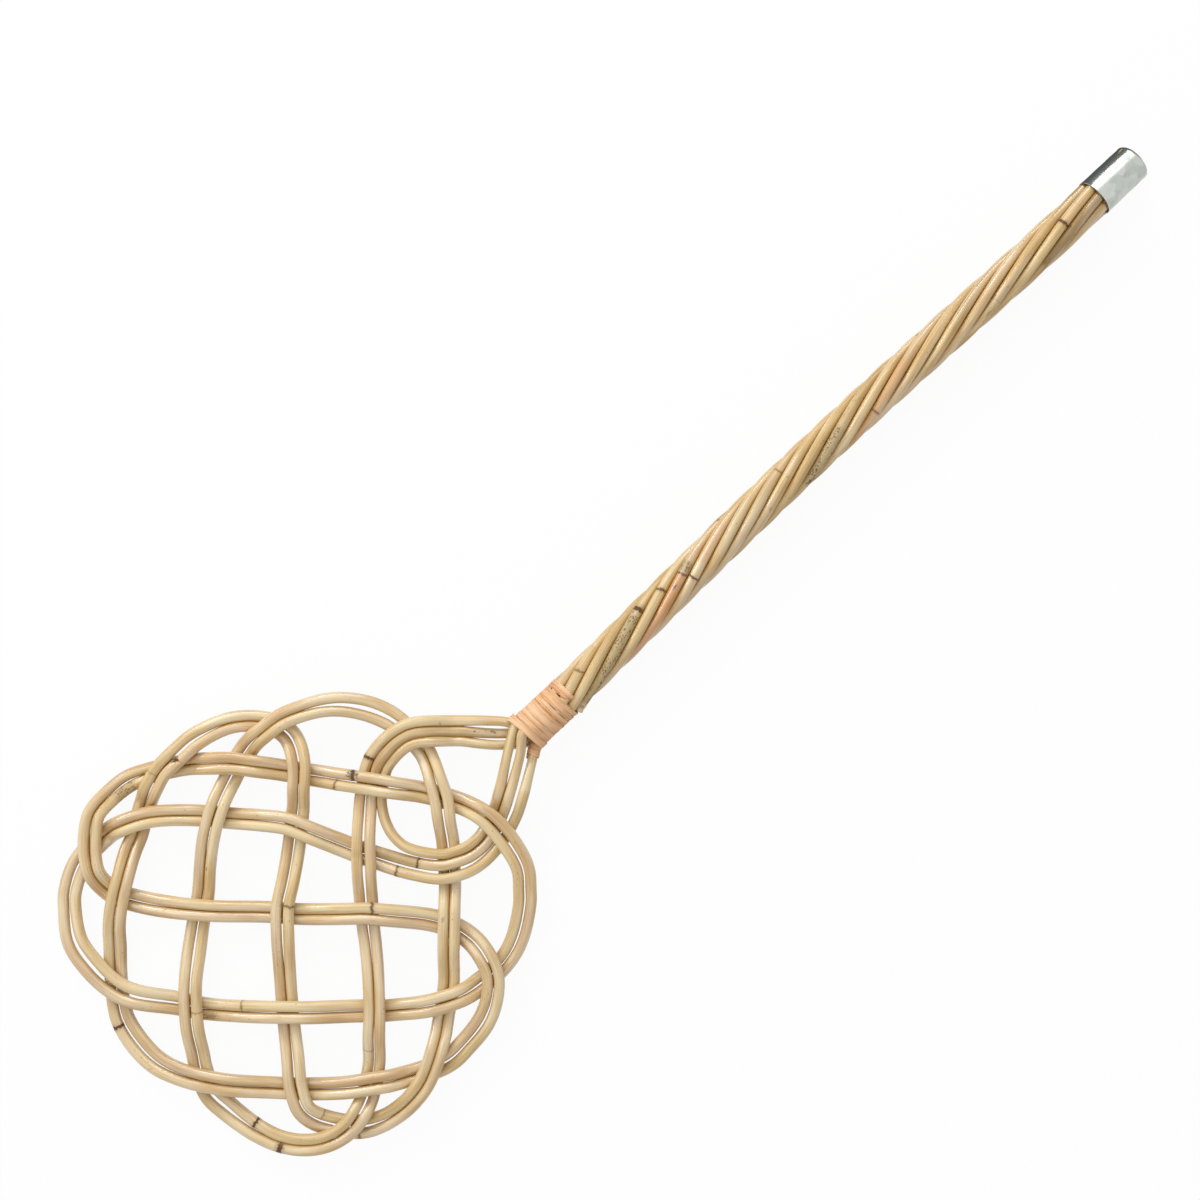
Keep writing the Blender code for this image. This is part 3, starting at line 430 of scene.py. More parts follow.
def plan_crossings(first, second, same):
    """Where two plan curves cross: distance along each and the sine and cosine of the angle there.

    Two steps cross where the cross product of the gap between their starts and each step, over the cross
    product of the steps, lies between 0 and 1 on both.
    """
    first_steps, second_steps = np.diff(first, axis=0), np.diff(second, axis=0)
    between = second[None, :-1] - first[:-1, None]
    first_x, first_y = first_steps.T[:, :, None]
    second_x, second_y = second_steps.T[:, None, :]
    turn = first_x * second_y - first_y * second_x
    turn[turn == 0] = np.nan
    share = (between[..., 0] * second_y - between[..., 1] * second_x) / turn
    other_share = (between[..., 0] * first_y - between[..., 1] * first_x) / turn
    rows, columns = np.nonzero((share >= 0) & (share < 1) & (other_share >= 0) & (other_share < 1))
    if same:
        apart = columns > rows + 2
        rows, columns = rows[apart], columns[apart]
    first_lengths = np.linalg.norm(first_steps, axis=1)[rows]
    second_lengths = np.linalg.norm(second_steps, axis=1)[columns]
    along_first = run_lengths(first)[rows] + share[rows, columns] * first_lengths
    along_second = run_lengths(second)[columns] + other_share[rows, columns] * second_lengths
    sines = np.abs(turn[rows, columns]) / (first_lengths * second_lengths)
    return list(zip(along_first, along_second, sines, np.sqrt(np.maximum(0, 1 - sines ** 2))))


def weave_heights(distance, visits):
    """Height along a route: level over or under each visit, and eased from one visit to the next."""
    merged = []
    for start, stop, side in sorted(visits):
        if merged and merged[-1][2] == side:
            merged[-1][1] = max(merged[-1][1], stop)
            continue
        if merged and merged[-1][1] > start - CANE_RADIUS:
            middle = (merged[-1][1] + start) / 2
            merged[-1][1], start = middle - CANE_RADIUS / 2, middle + CANE_RADIUS / 2
        merged.append([start, stop, side])
    knots, sides = [], []
    for start, stop, side in merged:
        knots += [start, stop]
        sides += [side, side]
    knots, sides = np.array(knots), np.array(sides, float)
    piece = np.clip(np.searchsorted(knots, distance) - 1, 0, len(knots) - 2)
    share = (distance - knots[piece]) / (knots[piece + 1] - knots[piece])
    return CROSSING_RISE * (sides[piece] + (sides[piece + 1] - sides[piece]) * eased(share))


def leftward(plan):
    """Unit vectors to the left of travel along a plan curve."""
    travel = np.gradient(plan, axis=0)
    travel /= np.linalg.norm(travel, axis=1)[:, None]
    return np.column_stack((-travel[:, 1], travel[:, 0]))


def loop_route(plan, half_pair):
    """Plan of the short cane: beside the pair's right-hand cane at both ends, on its own round the loop."""
    closer = LOOP_CLOSER * (np.arange(len(plan)) > len(plan) / 2)
    beside = plan - leftward(plan) * (half_pair + PAIR_SPACING - closer)[:, None]
    leaves, joins = to_plan([LOOP_LEAVES_PX, LOOP_JOINS_PX])
    searched = round(LOOP_BESIDE_PAIR_SHARE * len(plan))
    leave = np.linalg.norm(plan[:searched] - leaves, axis=1).argmin()
    join = len(plan) - searched + np.linalg.norm(plan[-searched:] - joins, axis=1).argmin()
    stride = round(CANE_DIAMETER / FINE_STEP)
    turn = to_plan(LOOP_TURN_PX)[:, :2]
    return smooth_curve(np.vstack((beside[:leave:stride], turn, beside[join::stride], beside[-1:])), FINE_STEP)


def crossing_visits(guide, loop_plan):
    """Stretches of the pair's route and the loop's where each goes over (1) or under (-1) what it meets."""
    plan = guide[:, :2]
    distance, loop_end = run_lengths(plan), run_lengths(loop_plan)[-1]
    half_pair = (PAIR_SPACING + DAYLIGHT_SHARE * guide[:, 2]) / 2
    margin = CROSSING_MARGIN_SHARE * CANE_DIAMETER

    def half_length(own_half, other_half, sine, cosine):
        return (other_half + own_half * cosine) / sine + margin

    meetings = []
    for near, far, sine, cosine in plan_crossings(plan, plan, True):
        half_near, half_far = np.interp((near, far), distance, half_pair)
        meetings.append((near, half_length(half_near, half_far, sine, cosine)))
        meetings.append((far, half_length(half_far, half_near, sine, cosine)))
    visits = [(0, margin, 1), (distance[-1] - margin, distance[-1], -1)]
    for number, (place, half) in enumerate(sorted(meetings)):
        visits.append((place - half, place + half, 1 if number % 2 else -1))
    loop_visits = [(0, margin, 1), (loop_end - margin, loop_end, -1)]
    for number, (own, other, sine, cosine) in enumerate(sorted(plan_crossings(loop_plan, plan, False))):
        side = 1 if number % 2 else -1
        half_other = np.interp(other, distance, half_pair)
        half = half_length(0, half_other, sine, cosine)
        loop_visits.append((own - half, own + half, side))
        half = half_length(half_other, 0, sine, cosine)
        visits.append((other - half, other + half, -side))
    return visits, loop_visits


def head_canes():
    """Both long canes and the loop cane in the head: plan place, height over the middle, extra thickness.

    The places were read with canes of 6 mm. Thicker ones fill more of the daylight between them.
    """
    guide = smooth_curve(to_plan(PAIR_ROUTE_PX), FINE_STEP)
    plan = guide[:, :2]
    half_pair = (PAIR_SPACING + DAYLIGHT_SHARE * guide[:, 2]) / 2
    loop_plan = loop_route(plan, half_pair)
    visits, loop_visits = crossing_visits(guide, loop_plan)
    heights = weave_heights(run_lengths(plan), visits)
    loop_heights = weave_heights(run_lengths(loop_plan), loop_visits)
    offset = leftward(plan) * half_pair[:, None]
    thicker = np.full(len(plan), HEAD_THICKER_PX * METRES_PER_PIXEL)
    return (np.column_stack((plan + offset, heights, thicker)),
            np.column_stack((plan - offset, heights, thicker)),
            np.column_stack((loop_plan, loop_heights, 0 * loop_heights)))


def head_plane(along):
    """Height of the head's middle: it falls evenly from the handle's axis to the head's far edge."""
    return HEAD_EDGE_DROP * np.clip(-along / HEAD_LENGTH, 0, 1)


def handle_twist(along):
    """Angle that the handle's canes have turned through since the mouth: the sum of a varying rate."""
    fine = np.linspace(0, HANDLE_LENGTH, round(HANDLE_LENGTH / FINE_STEP) + 1)
    growth = np.clip(fine / (BINDING_LENGTH * TWIST_GROWTH_SHARE), 0, 1)
    rate = MOUTH_TWIST_SHARE + (1 - MOUTH_TWIST_SHARE) * growth
    rate *= 1 - CAP_EASE_SHARE * np.clip(fine / CAP_START, 0, 1) ** CAP_EASE_POWER
    turned = np.concatenate(((0.0,), np.cumsum((rate[1:] + rate[:-1]) / 2 * np.diff(fine))))
    return np.interp(along, fine, turned) * 2 * math.pi / LAY_LENGTH


def handle_centre(along):
    """Sideways place of the handle's axis, which bows a little between the binding and the cap."""
    share = np.clip(along / CAP_START, 0, 1)
    return -HANDLE_BOW * (4 * share * (1 - share)) ** 2


def handle_cane(order, start, lift=0.0):
    """Centre line of one cane of the handle: a helix whose angle follows the twist and the cane's order."""
    along = np.linspace(start, CANE_END, math.ceil((CANE_END - start) / HANDLE_STEP) + 1)
    pitch_mouth = 2 * math.pi / CANES_IN_MOUTH
    pitch_handle = 2 * math.pi / CANES_IN_HANDLE
    pitch = pitch_mouth + (pitch_handle - pitch_mouth) * eased(along / BINDING_LENGTH)
    angle = MOUTH_ANGLE - handle_twist(along) - order * pitch
    straight = eased((along - CAP_START) / CAP_LENGTH + 1)
    radius = RING_RADIUS + (RING_RADIUS_STRAIGHT - RING_RADIUS) * straight
    radius = radius + lift * np.clip(1 - (along - start) / FILLER_STUB_RUN, 0, 1) ** 2
    return np.column_stack((handle_centre(along) + radius * np.sin(angle), along, radius * np.cos(angle),
                            0 * along))


def neck_place(end):
    """The place between head and binding that one cane end passes. The ends were pared thinner there."""
    middle_px, across_share, along_share, rise_share = NECK_SHARES[end]
    across, along = to_plan([middle_px])[0]
    across, along = across + across_share * PAIR_SPACING, along + along_share * PAIR_SPACING
    height = head_plane(along) + rise_share * CROSSING_RISE
    return np.array(((across, along, height, -NECK_THINNING_PX * METRES_PER_PIXEL),))


def soften(line):
    """Evens out a line of points: each becomes the bell-weighted mean of its neighbours, ends kept."""
    reach = round(3 * LINE_SMOOTHING / FINE_STEP)
    weights = np.exp(-0.5 * (np.arange(-reach, reach + 1) * FINE_STEP / LINE_SMOOTHING) ** 2)
    padded = np.vstack((2 * line[0] - line[reach:0:-1], line, 2 * line[-1] - line[-2:-reach - 2:-1]))
    return np.column_stack([np.convolve(column, weights / weights.sum(), "valid") for column in padded.T])


def whole_cane(head_part, first_end, last_end):
    """A cane from cap to cap: handle, neck, head, neck and handle again, as one smooth line."""
    head = head_part + head_plane(head_part[:, 1:2]) * (0, 0, 1, 0)
    pieces = (handle_cane(HANDLE_ORDER[first_end], 0)[::-1], neck_place(first_end), head,
              neck_place(last_end), handle_cane(HANDLE_ORDER[last_end], 0))
    return soften(smooth_curve(np.vstack(pieces), FINE_STEP))


@functools.lru_cache(maxsize=None)
def cane_courses():
    """The course of every cane but the core: world places and extra thickness, by the name of the cane."""
    outer_head, inner_head, loop_head = head_canes()
    stub = handle_cane(STUB_FILLER_ORDER, BINDING_LENGTH + FILLER_STUB_REACH, FILLER_STUB_LIFT)
    lines = {
        "outer": whole_cane(outer_head, "outer_down", "outer_left"),
        "inner": whole_cane(inner_head, "inner_down", "inner_left"),
        "loop": whole_cane(loop_head, "loop_down", "loop_left"),
        "stub": smooth_curve(stub, FINE_STEP),
        "hidden": smooth_curve(handle_cane(INNER_FILLER_ORDER, CORE_SETBACK), FINE_STEP),
    }
    return {name: line + np.append(MOUTH_PLACE, 0) for name, line in lines.items()}


@functools.lru_cache(maxsize=None)
def cane_lines():
    """The centre line of every cane but the core, in world places."""
    return {name: course[:, :3] for name, course in cane_courses().items()}


def line_frame(line):
    """At each point of a line: the direction square to its travel that is nearest to up, and the one beside."""
    travel = np.gradient(line, axis=0)
    travel /= np.linalg.norm(travel, axis=1)[:, None]
    up = np.array((0.0, 0.0, 1.0)) - travel * travel[:, 2:]
    up /= np.linalg.norm(up, axis=1)[:, None]
    return up, np.cross(travel, up)


def camera_pose():
    """World place of the camera, over the picture's middle, and the matrix of its axes."""
    stage = bpy.context.scene.beater_stage
    middle = to_plan([(PICTURE_PX / 2, PICTURE_PX / 2)])[0] + stage.camera_aside
    axes = Euler(stage.camera_turn, "YXZ").to_matrix()
    return MOUTH_PLACE + np.array((*middle, stage.camera_rise)), np.array(axes)


def picture_ray(mark_x, mark_y):
    """The camera's place and the unit vector from it through a picture place."""
    eye, axes = camera_pose()
    focal = bpy.context.scene.beater_stage.camera_lens / SENSOR * PICTURE_PX
    ray = axes @ np.array((mark_x - PICTURE_PX / 2, PICTURE_PX / 2 - mark_y, -focal))
    return eye, ray / np.linalg.norm(ray)


@functools.lru_cache(maxsize=None)
def find_mark(mark_x, mark_y):
    """The cane that shows at a picture place: its name, the distance along it and the angle from its top.

    Of all the line points, the one whose near side the ray meets first shows there. A line that the ray
    misses by more than the radius counts as far lower.
    """
    eye, ray = picture_ray(mark_x, mark_y)
    best = None
    for name, line in cane_lines().items():
        depth = (line - eye) @ ray
        miss = np.linalg.norm(line - eye - depth[:, None] * ray, axis=1)
        reach = depth - np.sqrt(np.maximum(0, CANE_RADIUS ** 2 - miss ** 2))
        reach += MISS_PENALTY * np.maximum(0, miss - CANE_RADIUS)
        place = reach.argmin()
        if best is None or reach[place] < best[0]:
            best = (reach[place], name, place, depth[place])
    reach, name, place, depth = best
    line = cane_lines()[name]
    up, side = line_frame(line)
    offset = eye + min(reach, depth) * ray - line[place]
    return name, run_lengths(line)[place], math.atan2(offset @ side[place], offset @ up[place])


def find_stretch(first, last):
    """The cane that shows at the last place, and the stretch of it back to where it passes the first."""
    name, stop, _ = find_mark(*last)
    eye, ray = picture_ray(*first)
    line = cane_lines()[name]
    distance = run_lengths(line)
    miss = np.linalg.norm(np.cross(line - eye, ray), axis=1)
    reach = STRETCH_REACH_SHARE * math.dist(first, last) * METRES_PER_PIXEL + CANE_DIAMETER
    miss[np.abs(distance - stop) > reach] = np.inf
    start = distance[miss.argmin()]
    return name, min(start, stop), max(start, stop)


def ring_surface(name, rings, fields, close_ends=True):
    """Mesh of a grid of points, rings by sides, closed around, with each end closed by one face."""
    count, sides = rings.shape[:2]
    index = np.arange(count * sides).reshape(count, sides)
    after = np.roll(index, -1, axis=1)
    faces = np.stack((index[:-1], after[:-1], after[1:], index[1:]), axis=-1).reshape(-1, 4).tolist()
    if close_ends:
        faces += [index[0, ::-1].tolist(), index[-1].tolist()]
    mesh = bpy.data.meshes.new(name)
    mesh.from_pydata(rings.reshape(-1, 3).tolist(), [], faces)
    for field, values in fields.items():
        kind, key = ("FLOAT_VECTOR", "vector") if values.ndim == 3 else ("FLOAT", "value")
        mesh.attributes.new(field, kind, "POINT").data.foreach_set(key, values.astype(np.float32).ravel())
    mesh.polygons.foreach_set("use_smooth", np.ones(len(faces), bool))
    mesh.update()
    made = bpy.data.objects.new(name, mesh)
    bpy.context.scene.collection.objects.link(made)
    return made


def ring_stations(start, stop, nodes):
    """Distances along a cane at which rings stand: even steps, and fine ones either side of each node."""
    stations = [np.arange(start, stop, RING_STEP), (stop,)]
    for node in nodes:
        near = np.arange(max(start, node - NODE_REACH), min(stop, node + NODE_REACH), NODE_RING_STEP)
        stations.append(near)
    stations = np.unique(np.concatenate(stations))
    return stations[np.concatenate(((True,), np.diff(stations) > NODE_RING_STEP / 2))]


def nearest_mark(stations, marks):
    """For each station the number of the mark nearest to it along the cane."""
    return np.abs(stations[:, None] - marks[None]).argmin(axis=1)


def seam_varnish_and_shade(name, centres, points, radius):
    """How close each surface point is to another cane: a bell curve of the gap to the nearest ones. It gives the seams
    their golden varnish together with painted shade between the canes.

    The line points nearest to each ring's centre are found for every cane, the cane's own far stretches
    too, and the gap is the distance from the surface point to them less the radius.
    """
    varnish_and_shade = np.zeros(points.shape[:2])
    for other, line in cane_lines().items():
        line = line[::2]
        for start in range(0, len(centres), 400):
            near = centres[start:start + 400]
            apart = np.linalg.norm(near[:, None] - line[None], axis=2)
            if other == name:
                own = apart.argmin(axis=1)
                apart[np.abs(np.arange(len(line))[None] - own[:, None]) < 24] = np.inf
            nearest = line[apart.argmin(axis=1)]
            gap = np.linalg.norm(points[start:start + 400] - nearest[:, None], axis=2) - radius
            bell = np.exp(-(np.maximum(gap, 0) / (1.2 * MILLIMETRE)) ** 2)
            varnish_and_shade[start:start + 400] = np.maximum(varnish_and_shade[start:start + 400], bell)
    return varnish_and_shade


def stretch_tint(name, stations, centres, seed):
    """Tint along a cane: paleness, greyness and tan.

    Each internode has its own tone, the handled end is darker, and marked stretches have their own colours, one a
    painted highlight.
    """
    chance = np.random.default_rng(seed)
    node_marks, _, stretch_marks = placed_marks()
    nodes = sorted(find_mark(x, y)[1] for x, y, _, _ in node_marks if find_mark(x, y)[0] == name)
    edges = np.array(nodes)
    tones = chance.uniform(-0.25, 0.25, len(edges) + 1)
    tint = np.zeros((len(stations), 3))
    tint[:, 0] = tones[np.searchsorted(edges, stations)] - 0.34 * eased((centres[:, 1] - MOUTH_PLACE[1]) / 0.12)
    for first, last, grey, tan, pale in stretch_marks:
        found, start, stop = find_stretch(first, last)
        if found != name:
            continue
        blend = MILLIMETRE * 4
        inside = eased((stations - start) / blend + 0.5) * eased((stop - stations) / blend + 0.5)
        tint += inside[:, None] * (np.array((pale, grey, tan)) - tint * (1, 1, 1))
    return tint


def cane_surface(piece, line_name, start, stop, seed, end_shape=None):
    """A round cane between two distances along its line.

    Each ring is the radius around the line, with a swelling and a jagged groove at every node. The marks'
    distances go to the material as fields, so that their edges stay sharp between the rings.
    """
    settings = bpy.context.scene.beater_canes
    radius = settings.diameter / 2
    course = cane_courses()[line_name]
    line = course[:, :3]
    distance = run_lengths(line)
    node_marks, blot_marks, _ = placed_marks()
    nodes = [(find_mark(x, y)[1], strength, jag) for x, y, strength, jag in node_marks
             if find_mark(x, y)[0] == line_name]
    nodes = np.array(nodes or [(-1.0, 0.0, 0.0)])
    # Painted shadow under the cap's lip: a dark ring, laid on like a node mark, where each cane goes into the cap's
    # mouth.
    capped = line[:, 1] > MOUTH_PLACE[1] + CAP_START - CAP_WALL
    lip_shade_rings = [(distance[place], 0.9, 0.15) for place in np.flatnonzero(np.diff(capped))]
    nodes = np.vstack((nodes, lip_shade_rings))
    blots = [(*find_mark(x, y)[1:], length, width, strength) for x, y, length, width, strength in blot_marks
             if find_mark(x, y)[0] == line_name]
    blots = np.array(blots or [(-1.0, 0.0, 1.0, 1.0, 0.0)])
    stations = ring_stations(start, stop, nodes[:, 0])
    centres = np.column_stack([np.interp(stations, distance, line[:, axis]) for axis in range(3)])
    up, side = (np.column_stack([np.interp(stations, distance, way[:, axis]) for axis in range(3)])
                for way in line_frame(line))
    angle = np.linspace(0, 2 * math.pi, settings.sides, endpoint=False)
    chance = np.random.default_rng(seed)
    wave, turn = chance.uniform(0.02, 0.06, 3), chance.uniform(0, 2 * math.pi, 3)
    swell = sum(0.006 * np.sin(2 * math.pi * stations / (size + 0.03 * number) + phase)
                for number, (size, phase) in enumerate(zip(wave, turn)))
    oval = 0.012 * np.cos(2 * (angle[None] - turn[0] - stations[:, None] / wave[1]))
    extra = np.interp(stations, distance, course[:, 3])[:, None] / 2 * (0.35 + 0.65 * np.sin(angle) ** 2)
    size = radius * (1 + swell[:, None] + oval) + extra
    nearest = nearest_mark(stations, nodes[:, 0])
    node_gap = (stations - nodes[nearest, 0])[:, None]
    jag = nodes[nearest, 2][:, None] * MILLIMETRE * ring_wander(angle[None], nodes[nearest, 0][:, None])
    strength = nodes[nearest, 1][:, None]
    size = size + strength * settings.node_ridge * np.exp(-(node_gap / (1.5 * MILLIMETRE)) ** 2)
    size = size - strength * settings.node_groove * np.exp(-((node_gap - jag) / (0.35 * MILLIMETRE)) ** 2)
    offsets = np.stack((size * np.cos(angle), size * np.sin(angle)), axis=-1)
    if end_shape:
        offsets = end_shape(stations, offsets)
    rings = centres[:, None] + offsets[..., :1] * up[:, None] + offsets[..., 1:] * side[:, None]
    shape = rings.shape[:2]
    blot = nearest_mark(stations, blots[:, 0])
    around = (angle[None] - blots[blot, 1][:, None] + math.pi) % (2 * math.pi) - math.pi
    fields = {
        "lay": np.stack((radius * np.cos(angle)[None] + 0 * node_gap, radius * np.sin(angle)[None] + 0 * node_gap,
                         np.broadcast_to(stations[:, None] + seed, shape)), axis=-1),
        "node_gap": np.stack(((node_gap - jag) / MILLIMETRE, np.broadcast_to(strength, shape),
                              np.broadcast_to(node_gap / MILLIMETRE, shape)), axis=-1),
        "blot_gap": np.stack((np.broadcast_to((stations - blots[blot, 0])[:, None] / MILLIMETRE
                                              / blots[blot, 2][:, None], shape),
                              radius * around / MILLIMETRE / blots[blot, 3][:, None],
                              np.broadcast_to(blots[blot, 4][:, None], shape)), axis=-1),
        "tint": np.broadcast_to(stretch_tint(line_name, stations, centres, seed)[:, None], (*shape, 3)),
        # Nearness to other canes: seam varnish and painted shade between canes.
        "varnish_and_shade": seam_varnish_and_shade(line_name, centres, rings, CANE_RADIUS),
    }
    return ring_surface(piece, rings, fields)


def ring_wander(angle, seed):
    """A bent line around a cane, from -1 to 1: three waves of unlike count whose phases follow the seed."""
    return (0.66 * np.sin(angle + 900 * seed) + 0.24 * np.sin(2 * angle + 1700 * seed)
            + 0.10 * np.sin(5 * angle + 2900 * seed))


def finish_piece(made, material, slot, *nodes):
    """Gives a piece its material and its body, and lets it stand for its solids. The slot is not used."""
    made.data.materials.clear()
    made.data.materials.append(material)
    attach(made, "root")
    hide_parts(*nodes)


def put(tree, kind, inputs=None, **settings):
    """Adds a shader node with its settings, and its inputs as values or as sockets to link."""
    node = tree.nodes.new(kind)
    for key, value in settings.items():
        setattr(node, key, value)
    for key, value in (inputs or {}).items():
        if isinstance(value, bpy.types.NodeSocket):
            tree.links.new(value, node.inputs[key])
        else:
            node.inputs[key].default_value = value
    return node


def sum_of(tree, operation, first, second, clamp=False):
    """Output of a Math node on two values or sockets."""
    return put(tree, "ShaderNodeMath", {0: first, 1: second}, operation=operation, use_clamp=clamp).outputs[0]


def shift(tree, value, low, high, new_low=0.0, new_high=1.0):
    """Output of a smooth Map Range: value goes from low to high as the result goes from new_low to new_high."""
    return put(tree, "ShaderNodeMapRange", {"Value": value, "From Min": low, "From Max": high,
                                            "To Min": new_low, "To Max": new_high},
               interpolation_type="SMOOTHSTEP").outputs[0]


def mixed(tree, share, first, second, blend_type="MIX"):
    """Output of a colour Mix node."""
    node = put(tree, "ShaderNodeMix", {0: share, 6: first, 7: second}, data_type="RGBA", blend_type=blend_type)
    return node.outputs[2]


def scaled(tree, vector, *factors):
    """Output of a Vector Math node that multiplies each part of a vector by its own factor."""
    return put(tree, "ShaderNodeVectorMath", {0: vector, 1: factors}, operation="MULTIPLY").outputs[0]


def noise(tree, vector, scale, detail=2.0, roughness=0.5, distortion=0.0):
    """Output of a Noise Texture node."""
    return put(tree, "ShaderNodeTexNoise", {"Vector": vector, "Scale": scale, "Detail": detail,
                                            "Roughness": roughness, "Distortion": distortion}).outputs[0]


def new_group(name, inputs, outputs):
    """A shader node group with the named sockets. Returns it with its input and output nodes."""
    group = bpy.data.node_groups.new(name, "ShaderNodeTree")
    for direction, sockets in (("INPUT", inputs), ("OUTPUT", outputs)):
        for socket, kind in sockets:
            group.interface.new_socket(socket, in_out=direction, socket_type=f"NodeSocket{kind}")
    return group, group.nodes.new("NodeGroupInput"), group.nodes.new("NodeGroupOutput")


@functools.lru_cache(maxsize=None)
def fibre_group():
    """Grain of split or whole rattan: fine fibres, broad streaks, clouds and pores along the lay."""
    group, given, result = new_group(
        "rattan_fibres", [("Lay", "Vector")],
        [("Fibre", "Float"), ("Streak", "Float"), ("Cloud", "Float"), ("Pore", "Float"), ("Height", "Float")])
    lay = given.outputs["Lay"]
    fibre = noise(group, scaled(group, lay, 3400, 3400, 75), 1.0, 3.0, 0.6)
    streak = noise(group, scaled(group, lay, 900, 900, 16), 1.0, 2.0, 0.55)
    cloud = noise(group, scaled(group, lay, 160, 160, 30), 1.0, 2.0, 0.5)
    pores = put(group, "ShaderNodeTexVoronoi", {"Vector": scaled(group, lay, 560, 560, 230), "Scale": 1.0})
    pore = shift(group, pores.outputs["Distance"], 0.20, 0.06)
    rare = shift(group, noise(group, scaled(group, lay, 170, 170, 60), 1.0, 1.0), 0.54, 0.64)
    pore = sum_of(group, "MULTIPLY", pore, rare)
    height = sum_of(group, "ADD", sum_of(group, "MULTIPLY", fibre, 0.35), sum_of(group, "MULTIPLY", streak, 0.65))
    for socket, value in (("Fibre", fibre), ("Streak", streak), ("Cloud", cloud), ("Pore", pore),
                          ("Height", height)):
        group.links.new(value, result.inputs[socket])
    return group


def longest(group, first, second, lift):
    """Length of two parts of a gap together, plus a lift."""
    squares = sum_of(group, "ADD", sum_of(group, "MULTIPLY", first, first), sum_of(group, "MULTIPLY", second, second))
    return sum_of(group, "ADD", sum_of(group, "SQRT", squares, 0.0), lift)


@functools.lru_cache(maxsize=None)
def speck_group():
    """Black specks of weathered skin: small drops of unlike size, crowded in drifts along the lay."""
    group, given, result = new_group("weather_specks", [("Lay", "Vector")], [("Speck", "Float")])
    lay = given.outputs["Lay"]
    bent = put(group, "ShaderNodeTexNoise", {"Vector": scaled(group, lay, 900, 900, 700), "Scale": 1.0})
    shaken = put(group, "ShaderNodeVectorMath", {0: scaled(group, lay, 980, 980, 640), 1: bent.outputs["Color"]},
                 operation="ADD").outputs[0]
    drops = put(group, "ShaderNodeTexVoronoi", {"Vector": shaken, "Scale": 1.0, "Randomness": 1.0})
    crowd = noise(group, scaled(group, lay, 420, 420, 90), 1.0, 2.0)
    size = shift(group, crowd, 0.36, 0.58, 0.05, 0.50)
    speck = shift(group, sum_of(group, "SUBTRACT", drops.outputs["Distance"], size), 0.06, -0.06)
    group.links.new(speck, result.inputs["Speck"])
    return group


